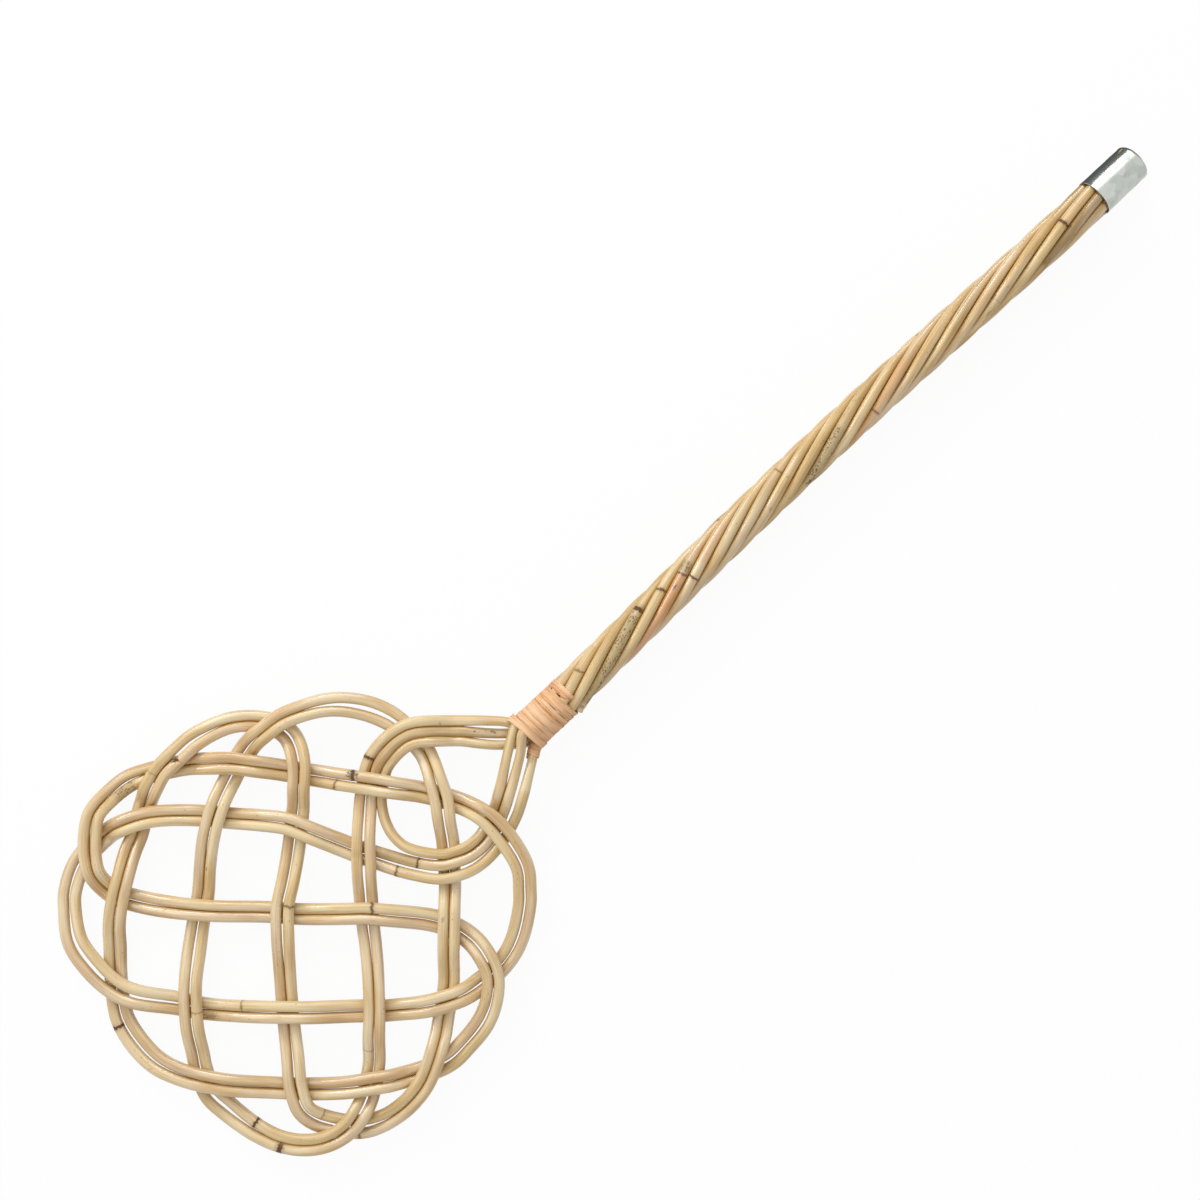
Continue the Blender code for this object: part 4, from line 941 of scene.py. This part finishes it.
@functools.lru_cache(maxsize=None)
def skin_group():
    """Skin of a whole cane: its colour with nodes, stains, grey and tan stretches, seam varnish and painted shade."""
    inputs = [("Lay", "Vector"), ("Node Gap", "Vector"), ("Blot Gap", "Vector"), ("Tint", "Vector"),
              ("Varnish And Shade", "Float"), ("Paleness", "Float"), ("Pale", "Color"), ("Honey", "Color"), ("Tan", "Color"),
              ("Grey", "Color"), ("Olive", "Color"), ("Mark", "Color"), ("Seam", "Color")]
    group, given, result = new_group("rattan_skin", inputs,
                                     [("Colour", "Color"), ("Roughness", "Float"), ("Coat", "Float"),
                                      ("Height", "Float")])
    take = given.outputs
    grain = put(group, "ShaderNodeGroup", node_tree=fibre_group())
    group.links.new(take["Lay"], grain.inputs["Lay"])
    tint = put(group, "ShaderNodeSeparateXYZ", {0: take["Tint"]}).outputs
    tone = sum_of(group, "ADD", take["Paleness"], tint[0])
    tone = sum_of(group, "ADD", tone, shift(group, grain.outputs["Cloud"], 0.3, 0.7, -0.42, 0.42))
    tone = sum_of(group, "ADD", tone, shift(group, grain.outputs["Streak"], 0.3, 0.7, -0.34, 0.34))
    tone = sum_of(group, "ADD", tone, shift(group, grain.outputs["Fibre"], 0.3, 0.7, -0.26, 0.26))
    skin = mixed(group, sum_of(group, "MAXIMUM", tone, 0.0, clamp=True), take["Honey"], take["Pale"])
    shade = sum_of(group, "MULTIPLY", tone, -0.7, clamp=True)
    skin = mixed(group, shade, skin, take["Olive"])
    blush = shift(group, noise(group, scaled(group, take["Lay"], 220, 220, 22), 1.0, 1.0), 0.45, 0.75, 0.0, 0.22)
    skin = mixed(group, sum_of(group, "ADD", tint[2], blush, clamp=True), skin, take["Tan"])
    specks = put(group, "ShaderNodeGroup", node_tree=speck_group())
    group.links.new(take["Lay"], specks.inputs["Lay"])
    speck = sum_of(group, "MULTIPLY", specks.outputs["Speck"], shift(group, tint[1], 0.35, 0.85, 0.0, 0.9))
    weathered = mixed(group, speck, take["Grey"], take["Mark"])
    skin = mixed(group, tint[1], skin, weathered)
    skin = mixed(group, sum_of(group, "MULTIPLY", grain.outputs["Pore"], 0.6), skin, take["Mark"])
    # Stains and specks from the blot marks, and the painted shade in the splice's hollow.
    blot = put(group, "ShaderNodeSeparateXYZ", {0: take["Blot Gap"]}).outputs
    ragged = shift(group, noise(group, scaled(group, take["Lay"], 1100, 1100, 900), 1.0, 2.0), 0.3, 0.7, -0.45, 0.45)
    stain = shift(group, longest(group, blot[0], blot[1], ragged), 1.2, 0.5)
    dark = sum_of(group, "MULTIPLY", stain, sum_of(group, "MAXIMUM", blot[2], 0.0))
    light = sum_of(group, "MULTIPLY", stain, sum_of(group, "MAXIMUM", sum_of(group, "MULTIPLY", blot[2], -1.0), 0.0))
    skin = mixed(group, dark, skin, take["Mark"])
    skin = mixed(group, light, skin, take["Pale"])
    node = put(group, "ShaderNodeSeparateXYZ", {0: take["Node Gap"]}).outputs
    rough_edge = shift(group, noise(group, scaled(group, take["Lay"], 800, 800, 300), 1.0, 2.0), 0.3, 0.7, -0.4, 0.4)
    off = sum_of(group, "ABSOLUTE", sum_of(group, "ADD", node[0], rough_edge), 0.0)
    off = sum_of(group, "DIVIDE", off, sum_of(group, "MAXIMUM", node[1], 0.3))
    ring = sum_of(group, "MULTIPLY", shift(group, off, 1.2, 0.5), node[1])
    halo = sum_of(group, "MULTIPLY", shift(group, off, 3.2, 0.5), sum_of(group, "MULTIPLY", node[1], 0.38))
    skin = mixed(group, halo, skin, take["Olive"])
    skin = mixed(group, sum_of(group, "MULTIPLY", ring, 0.95), skin, take["Mark"])
    # Golden seam colour where another cane lies close: varnish in the seams together with painted shade between canes.
    patchy = shift(group, grain.outputs["Cloud"], 0.35, 0.65, 0.65, 1.0)
    varnish_and_shade = sum_of(group, "MULTIPLY", take["Varnish And Shade"], patchy)
    skin = mixed(group, varnish_and_shade, skin, take["Seam"])
    rough = shift(group, grain.outputs["Cloud"], 0.3, 0.7, 0.30, 0.44)
    rough = sum_of(group, "ADD", rough, sum_of(group, "MULTIPLY", sum_of(group, "ADD", tint[1], dark), 0.18))
    group.links.new(skin, result.inputs["Colour"])
    worn = noise(group, scaled(group, take["Lay"], 130, 130, 24), 1.0, 2.0)
    coat = sum_of(group, "MULTIPLY", shift(group, worn, 0.42, 0.60, 0.03, 0.9), sum_of(group, "SUBTRACT", 1.0, tint[1]))
    coat = sum_of(group, "MULTIPLY", coat, sum_of(group, "SUBTRACT", 1.0, ring, clamp=True))
    group.links.new(rough, result.inputs["Roughness"])
    group.links.new(coat, result.inputs["Coat"])
    group.links.new(grain.outputs["Height"], result.inputs["Height"])
    return group


def new_material(name):
    """A material with its Principled shader. Returns it with its tree and shader."""
    made = bpy.data.materials.new(name)
    made.use_nodes = True
    tree = made.node_tree
    return made, tree, tree.nodes["Principled BSDF"]


def add_bump(tree, shader, height, depth, strength=1.0):
    """Feeds a height field to the shader's normal. Depth is in metres."""
    bump = put(tree, "ShaderNodeBump", {"Height": height, "Distance": depth, "Strength": strength})
    tree.links.new(bump.outputs[0], shader.inputs["Normal"])


def cane_material(name, paleness, tan_shift=None):
    """Varnished rattan. Paleness is the cane's own tone, and tan_shift replaces its honey colour."""
    made, tree, shader = new_material(name)
    colours = bpy.context.scene.beater_colours
    skin = put(tree, "ShaderNodeGroup", node_tree=skin_group())
    for socket, field in (("Lay", "lay"), ("Node Gap", "node_gap"), ("Blot Gap", "blot_gap"), ("Tint", "tint")):
        field_node = put(tree, "ShaderNodeAttribute", attribute_name=field)
        tree.links.new(field_node.outputs["Vector"], skin.inputs[socket])
    tree.links.new(put(tree, "ShaderNodeAttribute", attribute_name="varnish_and_shade").outputs["Fac"], skin.inputs["Varnish And Shade"])
    skin.inputs["Paleness"].default_value = paleness
    for socket, value in (("Pale", colours.pale), ("Honey", tan_shift or colours.honey), ("Tan", colours.tan),
                          ("Grey", colours.grey), ("Olive", colours.olive), ("Mark", colours.mark),
                          ("Seam", colours.seam)):
        skin.inputs[socket].default_value = (*value, 1.0)
    tree.links.new(skin.outputs["Colour"], shader.inputs["Base Color"])
    tree.links.new(skin.outputs["Roughness"], shader.inputs["Roughness"])
    tree.links.new(skin.outputs["Coat"], shader.inputs["Coat Weight"])
    shader.inputs["Coat Roughness"].default_value = 0.15
    shader.inputs["Coat IOR"].default_value = 2.0
    shader.inputs["Specular IOR Level"].default_value = 0.38
    add_bump(tree, shader, skin.outputs["Height"], 0.00012, 0.6)
    return made


class BEATER_OT_long_canes(bpy.types.Operator):
    """Make the outer long cane and both pieces of the spliced inner one"""
    bl_idname = "beater.long_canes"
    bl_label = "Long canes"

    def execute(self, context):
        lines = cane_lines()
        outer_end = run_lengths(lines["outer"])[-1]
        outer = cane_surface("woven_cane_outer", "outer", 0.0, outer_end, 3)
        finish_piece(outer, cane_material("rattan_outer", 0.62), "rattan", "long_cane_outer")
        inner_end = run_lengths(lines["inner"])[-1]
        splice = find_mark(*SPLICE_PX)[1]
        scarf = context.scene.beater_canes.scarf_length
        first = cane_surface("woven_cane_inner_first", "inner", 0.0, splice + scarf / 2, 5,
                             functools.partial(scarf_end, splice=splice, last=True))
        second = cane_surface("woven_cane_inner_second", "inner", splice, inner_end, 8,
                              functools.partial(scarf_end, splice=splice, last=False))
        inner_skin = cane_material("rattan_inner", 0.30, colour(210, 176, 128))
        finish_piece(first, inner_skin, "rattan", "long_cane_inner_first")
        finish_piece(second, inner_skin, "rattan", "long_cane_inner_second")
        return {"FINISHED"}


def scarf_end(stations, offsets, splice, last):
    """Shapes a cane's end at the splice, where one piece ends bluntly on the other's long taper.

    Ring points past a slanted plane are pushed back onto it. The lower piece's plane sinks through the cane
    along the scarf, at first faster, which leaves a hollow before the upper piece's tip. The upper piece is
    hollowed to lie on it.
    """
    scarf = bpy.context.scene.beater_canes.scarf_length
    radius = bpy.context.scene.beater_canes.diameter / 2
    lean = math.radians(-40)
    way = np.array((math.cos(lean), math.sin(lean)))
    height = offsets @ way
    share = ((stations - splice) / scarf)[:, None]
    if last:
        plane = radius * (1.15 - 0.8 * eased((share + 0.42) / 0.42) - 1.3 * np.clip(share / 0.5, 0, 1))
        excess = np.minimum(plane - height, 0)
    else:
        plane = radius * (0.3 - 1.3 * np.clip(share / 0.5, 0, 1) - 2 * np.clip(share / 0.5 - 1, 0, 1))
        excess = np.maximum(plane - height, 0)
    return offsets + excess[..., None] * way


class BEATER_OT_loop_cane(bpy.types.Operator):
    """Make the short cane of the tear-shaped loop"""
    bl_idname = "beater.loop_cane"
    bl_label = "Loop cane"

    def execute(self, context):
        end = run_lengths(cane_lines()["loop"])[-1]
        made = cane_surface("woven_cane_loop", "loop", 0.0, end, 11)
        finish_piece(made, cane_material("rattan_loop", 0.55), "rattan", "loop_cane")
        return {"FINISHED"}


def lumpy_end(stations, offsets):
    """Rounds off a cut end that was hacked through: the radius closes within a millimetre, with lumps."""
    from_end = stations[:, None] - stations[0]
    angle = np.arctan2(offsets[..., 1], offsets[..., 0])
    closing = np.sqrt(np.clip(from_end / (0.7 * MILLIMETRE), 0.0009, 1))
    lumps = 1 + 0.16 * np.sin(2 * angle + 1.1) * np.exp(-from_end / (3 * MILLIMETRE))
    lumps += 0.10 * np.sin(3 * angle + 2.0 + from_end * 1400) * np.exp(-from_end / (5 * MILLIMETRE))
    return offsets * (closing * lumps)[..., None]


class BEATER_OT_filler_canes(bpy.types.Operator):
    """Make the two canes that only fill the handle's twist, and finish the core"""
    bl_idname = "beater.filler_canes"
    bl_label = "Filler canes"

    def execute(self, context):
        lines = cane_lines()
        stub = cane_surface("twist_cane_grey", "stub", 0.0, run_lengths(lines["stub"])[-1], 17, lumpy_end)
        finish_piece(stub, cane_material("rattan_grey", 0.40), "grey_rattan", "filler_cane_stub")
        hidden = cane_surface("twist_cane_pale", "hidden", 0.0, run_lengths(lines["hidden"])[-1], 23)
        finish_piece(hidden, cane_material("rattan_filler", 0.50), "rattan", "filler_cane_hidden")
        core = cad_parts["core_cane"]
        core.data.materials.clear()
        core.data.materials.append(core_material())
        return {"FINISHED"}


def core_material():
    """Bare, unvarnished rattan of the core, with its fibres along the handle."""
    made, tree, shader = new_material("rattan_core")
    colours = bpy.context.scene.beater_colours
    place = put(tree, "ShaderNodeTexCoord").outputs["Object"]
    turned = put(tree, "ShaderNodeMapping", {"Vector": place, "Rotation": (math.pi / 2, 0, 0)}).outputs[0]
    grain = put(tree, "ShaderNodeGroup", node_tree=fibre_group())
    tree.links.new(turned, grain.inputs["Lay"])
    tone = shift(tree, grain.outputs["Streak"], 0.3, 0.7)
    tree.links.new(mixed(tree, tone, (*colours.grey, 1), (*colours.honey, 1)), shader.inputs["Base Color"])
    shader.inputs["Roughness"].default_value = 0.7
    add_bump(tree, shader, grain.outputs["Height"], 0.0001)
    return made


def strip_section():
    """Outline of the peel across its width: a flat top with bevelled edges over a flat underside."""
    top = np.linspace(-0.94, 0.94, 15)
    top = np.column_stack((top, 0.5 - 0.10 * np.abs(top) ** 4))
    right = np.array(((0.985, 0.28), (1.0, 0.05), (0.985, -0.32)))
    under = np.column_stack((np.linspace(0.93, -0.93, 5), np.full(5, -0.5)))
    return np.vstack((top, right, under, right[::-1] * (-1, 1)))


def strip_surface(piece, centres, outward, across, width, seed):
    """A flat strip along a path: its section stands square to the path at every step.

    Fibres make the top uneven: each point across has its own two slow waves along the strip.
    """
    section = strip_section()
    chance = np.random.default_rng(seed)
    along = run_lengths(centres)[:, None]
    waves = chance.uniform(0.010, 0.045, (2, 1, len(section)))
    turns = chance.uniform(0, 2 * math.pi, (2, 1, len(section)))
    fray = np.sin(2 * math.pi * along / waves[0] + turns[0]) * np.sin(2 * math.pi * along / waves[1] + turns[1])
    wide = section[None, :, 0] * width[:, None] / 2
    wide = wide * (1 + 0.035 * fray * np.abs(section[None, :, 0]))
    thickness = bpy.context.scene.beater_binding.thickness
    deep = section[None, :, 1] * thickness + 0.00006 * fray * (section[None, :, 1] > 0)
    rings = centres[:, None] + wide[..., None] * across[:, None] + deep[..., None] * outward[:, None]
    lay = np.stack((wide, deep, np.broadcast_to(along + seed, wide.shape)), axis=-1)
    edge = np.broadcast_to(np.abs(section[None, :, 0]) ** 6, wide.shape)
    return ring_surface(piece, rings, {"lay": lay, "edge": edge})


def binding_path():
    """The strip around the bundle: level turns, then a tail over the top that dips between two canes.

    The angle grows evenly. The place along the handle grows with it, strays a little from turn to turn, and
    reaches further in the tail. The radius follows the seven canes below and opens at the mouth.
    """
    settings = bpy.context.scene.beater_binding
    last_angle = 2 * math.pi * BINDING_TURNS + STRIP_TAIL_ANGLE
    steps = round((last_angle - STRIP_START_ANGLE) / math.radians(4))
    angle = np.linspace(STRIP_START_ANGLE, last_angle, steps + 1)
    turn = (angle - STRIP_START_ANGLE) / (2 * math.pi)
    tail = eased((turn - LEVEL_TURNS - 1) / TAIL_EASE_SHARE + 1)
    along = STRIP_WIDTH / 2 + STRIP_PITCH * turn + settings.tail_reach * tail
    stray = np.sin(angle * 0.37 + 1.0) + 0.7 * np.sin(angle * 0.81 + 2.2) + 0.5 * np.sin(angle * 1.73)
    along = along + settings.wander * stray * (1 - tail)
    start = np.exp(-(turn / 0.14) ** 2)
    along = along - 0.0013 * start
    flare = MOUTH_FLARE * np.clip(1 - turn / 2, 0, 1) ** 2 * np.sin(angle) ** 2 + 0.0009 * start
    bumps = 0.00012 * np.cos(CANES_IN_MOUTH * (angle - handle_twist(along)))
    inner = RING_RADIUS + bpy.context.scene.beater_canes.diameter / 2 - settings.bite
    radius = inner + settings.thickness / 2 + flare + bumps
    dip = eased((turn - turn[-1]) / 0.05 + 1)
    radius = radius - 0.0016 * dip
    outward = np.column_stack((np.sin(angle), np.zeros(len(angle)), np.cos(angle)))
    centres = np.column_stack((handle_centre(along), along, np.zeros(len(along)))) + radius[:, None] * outward
    loose = eased((turn - 3.2) / 2) * eased(0.55 + 0.9 * np.sin(angle))
    tilt = settings.lift / settings.width * (1 + 0.6 * np.sin(angle * 0.31 + 0.4)) * (0.3 + 0.7 * loose)
    across = np.array((0.0, 1.0, 0.0)) + tilt[:, None] * outward * 2
    across /= np.linalg.norm(across, axis=1)[:, None]
    slack = eased((turn - LEVEL_TURNS) / 1.5 + 1) * (1 - tail)
    width = settings.width * (1 + 0.05 * np.sin(angle * 0.53) - 0.08 * slack - 0.07 * loose * (1 - tail) + 0.34 * tail
                              + 0.40 * start) * (1 - 0.2 * dip)
    return centres + MOUTH_PLACE, outward, across, width


def wrap_path():
    """The strip's start: a few turns around the right-hand cane just below the mouth, from a ragged end."""
    settings = bpy.context.scene.beater_binding
    line = cane_lines()["outer"]
    distance = run_lengths(line)
    low = find_mark(533.5, 757)[1]
    turns = settings.wrap_turns
    steps = round(turns * 60)
    share = np.linspace(0, 1, steps + 1)
    place = low - share * STRIP_PITCH * 0.92 * turns
    centre = np.column_stack([np.interp(place, distance, line[:, axis]) for axis in range(3)])
    up, side = (np.column_stack([np.interp(place, distance, way[:, axis]) for axis in range(3)])
                for way in line_frame(line))
    angle = 2 * math.pi * turns * share + math.radians(70)
    outward = up * np.cos(angle)[:, None] + side * np.sin(angle)[:, None]
    radius = bpy.context.scene.beater_canes.diameter / 2 + settings.thickness * 0.55 + 0.00012 * share
    travel = np.cross(up, side)
    width = settings.width * (0.55 + 0.5 * eased(share * turns / 0.12))
    return centre + radius[:, None] * outward, outward, travel, width


def peel_material():
    """Split rattan peel: peach, with fibres along the strip, paler worn middles and darker splits and edges."""
    made, tree, shader = new_material("rattan_peel")
    colours = bpy.context.scene.beater_colours
    lay = put(tree, "ShaderNodeAttribute", attribute_name="lay").outputs["Vector"]
    edge = put(tree, "ShaderNodeAttribute", attribute_name="edge").outputs["Fac"]
    grain = put(tree, "ShaderNodeGroup", node_tree=fibre_group())
    tree.links.new(lay, grain.inputs["Lay"])
    tone = sum_of(tree, "ADD", shift(tree, grain.outputs["Streak"], 0.35, 0.65, -0.4, 0.4),
                  shift(tree, grain.outputs["Fibre"], 0.35, 0.65, -0.35, 0.35))
    tone = sum_of(tree, "ADD", tone, shift(tree, grain.outputs["Cloud"], 0.35, 0.65, -0.1, 0.9), clamp=True)
    skin = mixed(tree, tone, (*colours.peel, 1), (*colours.peel_dark, 1))
    split = shift(tree, noise(tree, scaled(tree, lay, 2100, 2100, 40), 1.0, 2.0), 0.60, 0.68)
    skin = mixed(tree, sum_of(tree, "MULTIPLY", split, 0.32), skin, (*colours.peel_split, 1))
    skin = mixed(tree, sum_of(tree, "MULTIPLY", edge, 0.18), skin, (*colours.peel_dark, 1))
    tree.links.new(skin, shader.inputs["Base Color"])
    tree.links.new(shift(tree, grain.outputs["Streak"], 0.3, 0.7, 0.5, 0.65), shader.inputs["Roughness"])
    height = sum_of(tree, "SUBTRACT", grain.outputs["Height"], sum_of(tree, "MULTIPLY", split, 0.5))
    add_bump(tree, shader, height, 0.0003, 0.8)
    return made


class BEATER_OT_binding(bpy.types.Operator):
    """Wind the strip around the neck and its start around the right-hand cane"""
    bl_idname = "beater.binding"
    bl_label = "Binding"

    def execute(self, context):
        turns = strip_surface("neck_binding", *binding_path(), 2)
        wrap = strip_surface("neck_binding_start", *wrap_path(), 7)
        peel = peel_material()
        finish_piece(turns, peel, "rattan_peel", "binding_strip")
        finish_piece(wrap, peel, "rattan_peel", "binding_strip")
        return {"FINISHED"}


def cap_profile(flare):
    """Outline of the cap's wall, mouth to end and back inside: radius and place along the handle."""
    mouth = CAP_MOUTH_RADIUS - bpy.context.scene.beater_cap.draw_in
    body = mouth - CAP_TAPER
    edge = CAP_EDGE_RADIUS
    quarter = np.linspace(0, math.pi / 2, 10)
    wall_along = np.linspace(CAP_START, HANDLE_LENGTH - edge, 34)
    wall = body + (mouth - body) * (1 - (wall_along - CAP_START) / CAP_LENGTH)
    wall = wall + flare * (np.exp(-((wall_along - CAP_START) / 0.0012)) - 1)
    outer = np.column_stack((wall, wall_along))
    bend = np.column_stack((body - edge + edge * np.cos(quarter), HANDLE_LENGTH - edge + edge * np.sin(quarter)))
    lid = np.column_stack((np.linspace(body - edge, 0, 9)[1:], np.full(8, HANDLE_LENGTH)))
    lid[-1, 0] = 0.00002
    outside = np.vstack((outer, bend[1:], lid))
    inside = outside[::-1] - (CAP_WALL, 0)
    inside[:, 0] = np.maximum(inside[:, 0], 0.00002)
    inside[:, 1] = np.minimum(inside[:, 1], HANDLE_LENGTH - CAP_WALL)
    lip = np.array(((wall[0] - CAP_WALL * 0.15, CAP_START - CAP_WALL * 0.3),
                    (wall[0] - CAP_WALL * 0.85, CAP_START - CAP_WALL * 0.3)))
    return np.vstack((outside, inside, lip[::-1], outside[:1]))


def zinc_material():
    """Galvanised steel: grey crystals of unlike tone and gloss, with fine scratches around the cap."""
    made, tree, shader = new_material("galvanised_steel")
    settings = bpy.context.scene.beater_cap
    place = put(tree, "ShaderNodeTexCoord").outputs["Object"]
    bent = noise(tree, scaled(tree, place, 240, 240, 240), 1.0, 2.0)
    crystals = put(tree, "ShaderNodeTexVoronoi", {"Vector": scaled(tree, place, 210, 150, 210), "Scale": 1.0})
    tone = put(tree, "ShaderNodeSeparateColor", {0: crystals.outputs["Color"]}).outputs[0]
    tone = sum_of(tree, "ADD", sum_of(tree, "MULTIPLY", tone, 0.65), sum_of(tree, "MULTIPLY", bent, 0.5), clamp=True)
    skin = mixed(tree, tone, (*settings.zinc_dark, 1), (*settings.zinc, 1))
    tree.links.new(skin, shader.inputs["Base Color"])
    shader.inputs["Metallic"].default_value = 1.0
    tree.links.new(shift(tree, tone, 0.0, 1.0, 0.34, 0.22), shader.inputs["Roughness"])
    scratch = noise(tree, scaled(tree, place, 2600, 160, 2600), 1.0, 3.0)
    height = sum_of(tree, "ADD", sum_of(tree, "MULTIPLY", tone, 0.5), sum_of(tree, "MULTIPLY", scratch, 0.3))
    add_bump(tree, shader, height, 0.00007, 0.4)
    return made


class BEATER_OT_cap(bpy.types.Operator):
    """Draw the metal cap with its rounded end, its flared mouth and its shallow dents"""
    bl_idname = "beater.cap"
    bl_label = "End cap"

    def execute(self, context):
        settings = context.scene.beater_cap
        profile = cap_profile(settings.flare)
        angle = np.linspace(0, 2 * math.pi, 96, endpoint=False)
        radius = profile[:, :1] + 0 * angle[None]
        along = profile[:, 1:] + 0 * angle[None]
        shade = (np.sin(3 * angle[None] + 260 * along) * np.sin(5 * angle[None] - 390 * along + 1.0)
                 + 0.6 * np.sin(2 * angle[None] + 520 * along + 2.0))
        full = np.clip(radius / CAP_MOUTH_RADIUS, 0, 1) ** 2
        radius = radius - settings.dent * full * (0.6 + 0.5 * shade)
        rings = np.stack((radius * np.sin(angle), along, radius * np.cos(angle)), axis=-1) + MOUTH_PLACE
        made = ring_surface("cap_shell", rings, {}, close_ends=False)
        finish_piece(made, zinc_material(), "galvanised_steel", "end_cap")
        return {"FINISHED"}


class BEATER_OT_stage(bpy.types.Operator):
    """Set the camera, the floor and the light"""
    bl_idname = "beater.stage"
    bl_label = "Stage"

    def execute(self, context):
        settings = context.scene.beater_stage
        self.place_camera(context, settings)
        self.lay_floor(settings)
        self.light_sky(context, settings)
        self.hang_lamps(settings)
        self.stand_card()
        context.scene.view_settings.view_transform = "Standard"
        return {"FINISHED"}

    def place_camera(self, context, settings):
        """The camera looks down, a little aslant, and is turned so that the handle runs to the upper right."""
        lens = bpy.data.cameras.new("picture_camera")
        lens.sensor_width = SENSOR
        lens.lens = settings.camera_lens
        lens.clip_start = 0.01
        camera = bpy.data.objects.new("picture_camera", lens)
        camera.location = camera_pose()[0]
        camera.rotation_mode = "YXZ"
        camera.rotation_euler = settings.camera_turn
        context.scene.collection.objects.link(camera)
        context.scene.camera = camera

    def lay_floor(self, settings):
        """A white floor that shows as plain white and keeps a soft part of the beater's shadow."""
        mesh = bpy.data.meshes.new("pale_floor")
        half, height = 6.0, -0.0003
        mesh.from_pydata([(-half, -half, height), (half, -half, height), (half, half, height),
                          (-half, half, height)], [], [(0, 1, 2, 3)])
        floor = bpy.data.objects.new("pale_floor", mesh)
        bpy.context.scene.collection.objects.link(floor)
        made, tree, shader = new_material("pale_floor")
        shader.inputs["Roughness"].default_value = 0.9
        shader.inputs["Specular IOR Level"].default_value = 0.0
        path = put(tree, "ShaderNodeLightPath").outputs
        tone = mixed(tree, path["Is Camera Ray"], (0.45, 0.43, 0.41, 1), (0.95, 0.95, 0.95, 1))
        tree.links.new(tone, shader.inputs["Base Color"])
        white = put(tree, "ShaderNodeEmission", {"Color": (1, 1, 1, 1), "Strength": 1.0}).outputs[0]
        seen = sum_of(tree, "MAXIMUM", path["Is Camera Ray"],
                      sum_of(tree, "MAXIMUM", path["Is Glossy Ray"], path["Is Transmission Ray"]))
        share = sum_of(tree, "MULTIPLY", seen, settings.floor_white)
        blend = put(tree, "ShaderNodeMixShader", {0: share, 1: shader.outputs[0], 2: white})
        tree.links.new(blend.outputs[0], tree.nodes["Material Output"].inputs["Surface"])
        mesh.materials.append(made)

    def light_sky(self, context, settings):
        """Even white light, seen as plain white by the camera and by glossy surfaces."""
        world = bpy.data.worlds.new("white_sky")
        context.scene.world = world
        world.use_nodes = True
        tree = world.node_tree
        sky = tree.nodes["Background"]
        sky.inputs["Color"].default_value = (1, 1, 1, 1)
        sky.inputs["Strength"].default_value = settings.sky
        path = put(tree, "ShaderNodeLightPath").outputs
        white = put(tree, "ShaderNodeBackground", {"Color": (1, 1, 1, 1), "Strength": 1.0}).outputs[0]
        seen = sum_of(tree, "MAXIMUM", path["Is Camera Ray"],
                      sum_of(tree, "MAXIMUM", path["Is Glossy Ray"], path["Is Transmission Ray"]))
        blend = put(tree, "ShaderNodeMixShader", {0: seen, 1: sky.outputs[0], 2: white})
        tree.links.new(blend.outputs[0], tree.nodes["World Output"].inputs["Surface"])

    def hang_lamps(self, settings):
        """A long soft lamp beside the handle at the picture's upper left, and a narrow one for streaks of gloss."""
        for name, wide, power, place in (("key_lamp", 0.75, settings.key_power, (-0.85, 0.35, 1.05)),
                                         ("streak_lamp", 0.16, settings.streak_power, (-1.22, 0.35, 0.58))):
            lamp = bpy.data.lights.new(name, "AREA")
            lamp.shape = "RECTANGLE"
            lamp.size, lamp.size_y = wide, 2.4
            lamp.energy = power
            hung = bpy.data.objects.new(name, lamp)
            hung.location = place
            hung.rotation_euler = (0, -math.atan2(-place[0], place[2]), 0)
            bpy.context.scene.collection.objects.link(hung)

    def stand_card(self):
        """A dark card beside the cap that only shows in its gloss: along the floor and up at the far side."""
        mesh = bpy.data.meshes.new("dark_card")
        near, far, low, high, top = CAP_HIGH[0] - 0.004, -1.3, CAP_LOW[1] - 0.01, 1.9, 0.62
        mesh.from_pydata([(near, low, -0.0002), (far, low, -0.0002), (far, high, -0.0002), (near, high, -0.0002),
                          (far, low, top), (far, high, top)], [], [(0, 3, 2, 1), (1, 2, 5, 4)])
        card = bpy.data.objects.new("dark_card", mesh)
        bpy.context.scene.collection.objects.link(card)
        for part in ("camera", "diffuse", "transmission", "shadow"):
            setattr(card, f"visible_{part}", False)
        made, _, shader = new_material("dark_card")
        shader.inputs["Base Color"].default_value = (0.09, 0.10, 0.10, 1)
        shader.inputs["Roughness"].default_value = 0.9
        mesh.materials.append(made)


class BEATER_PT_panel(bpy.types.Panel):
    """The beater's sizes, colours and pieces"""
    bl_idname = "BEATER_PT_panel"
    bl_label = "Carpet beater"
    bl_space_type = "VIEW_3D"
    bl_region_type = "UI"
    bl_category = "Beater"

    def draw(self, context):
        for group in (context.scene.beater_canes, context.scene.beater_colours, context.scene.beater_binding,
                      context.scene.beater_cap, context.scene.beater_stage):
            box = self.layout.box()
            for key in group.bl_rna.properties.keys()[2:]:
                box.prop(group, key)
        for operator in PIECES:
            self.layout.operator(operator.bl_idname)


SETTINGS = {"beater_canes": CaneSettings, "beater_colours": RattanColours, "beater_binding": BindingSettings,
            "beater_cap": CapSettings, "beater_stage": StageSettings}
PIECES = (BEATER_OT_stage, BEATER_OT_long_canes, BEATER_OT_loop_cane, BEATER_OT_filler_canes, BEATER_OT_binding,
          BEATER_OT_cap)


def register():
    """Registers the settings, the operators and the panel."""
    for name, group in SETTINGS.items():
        bpy.utils.register_class(group)
        setattr(bpy.types.Scene, name, PointerProperty(type=group))
    for kind in (*PIECES, BEATER_PT_panel):
        bpy.utils.register_class(kind)


def unregister():
    """Takes them all out again."""
    for kind in (BEATER_PT_panel, *reversed(PIECES)):
        bpy.utils.unregister_class(kind)
    for name, group in SETTINGS.items():
        delattr(bpy.types.Scene, name)
        bpy.utils.unregister_class(group)


def main():
    """Makes the stage and every piece."""
    register()
    for operator in PIECES:
        getattr(bpy.ops.beater, operator.bl_idname.split(".")[1])()


if __name__ == "__main__":
    main()
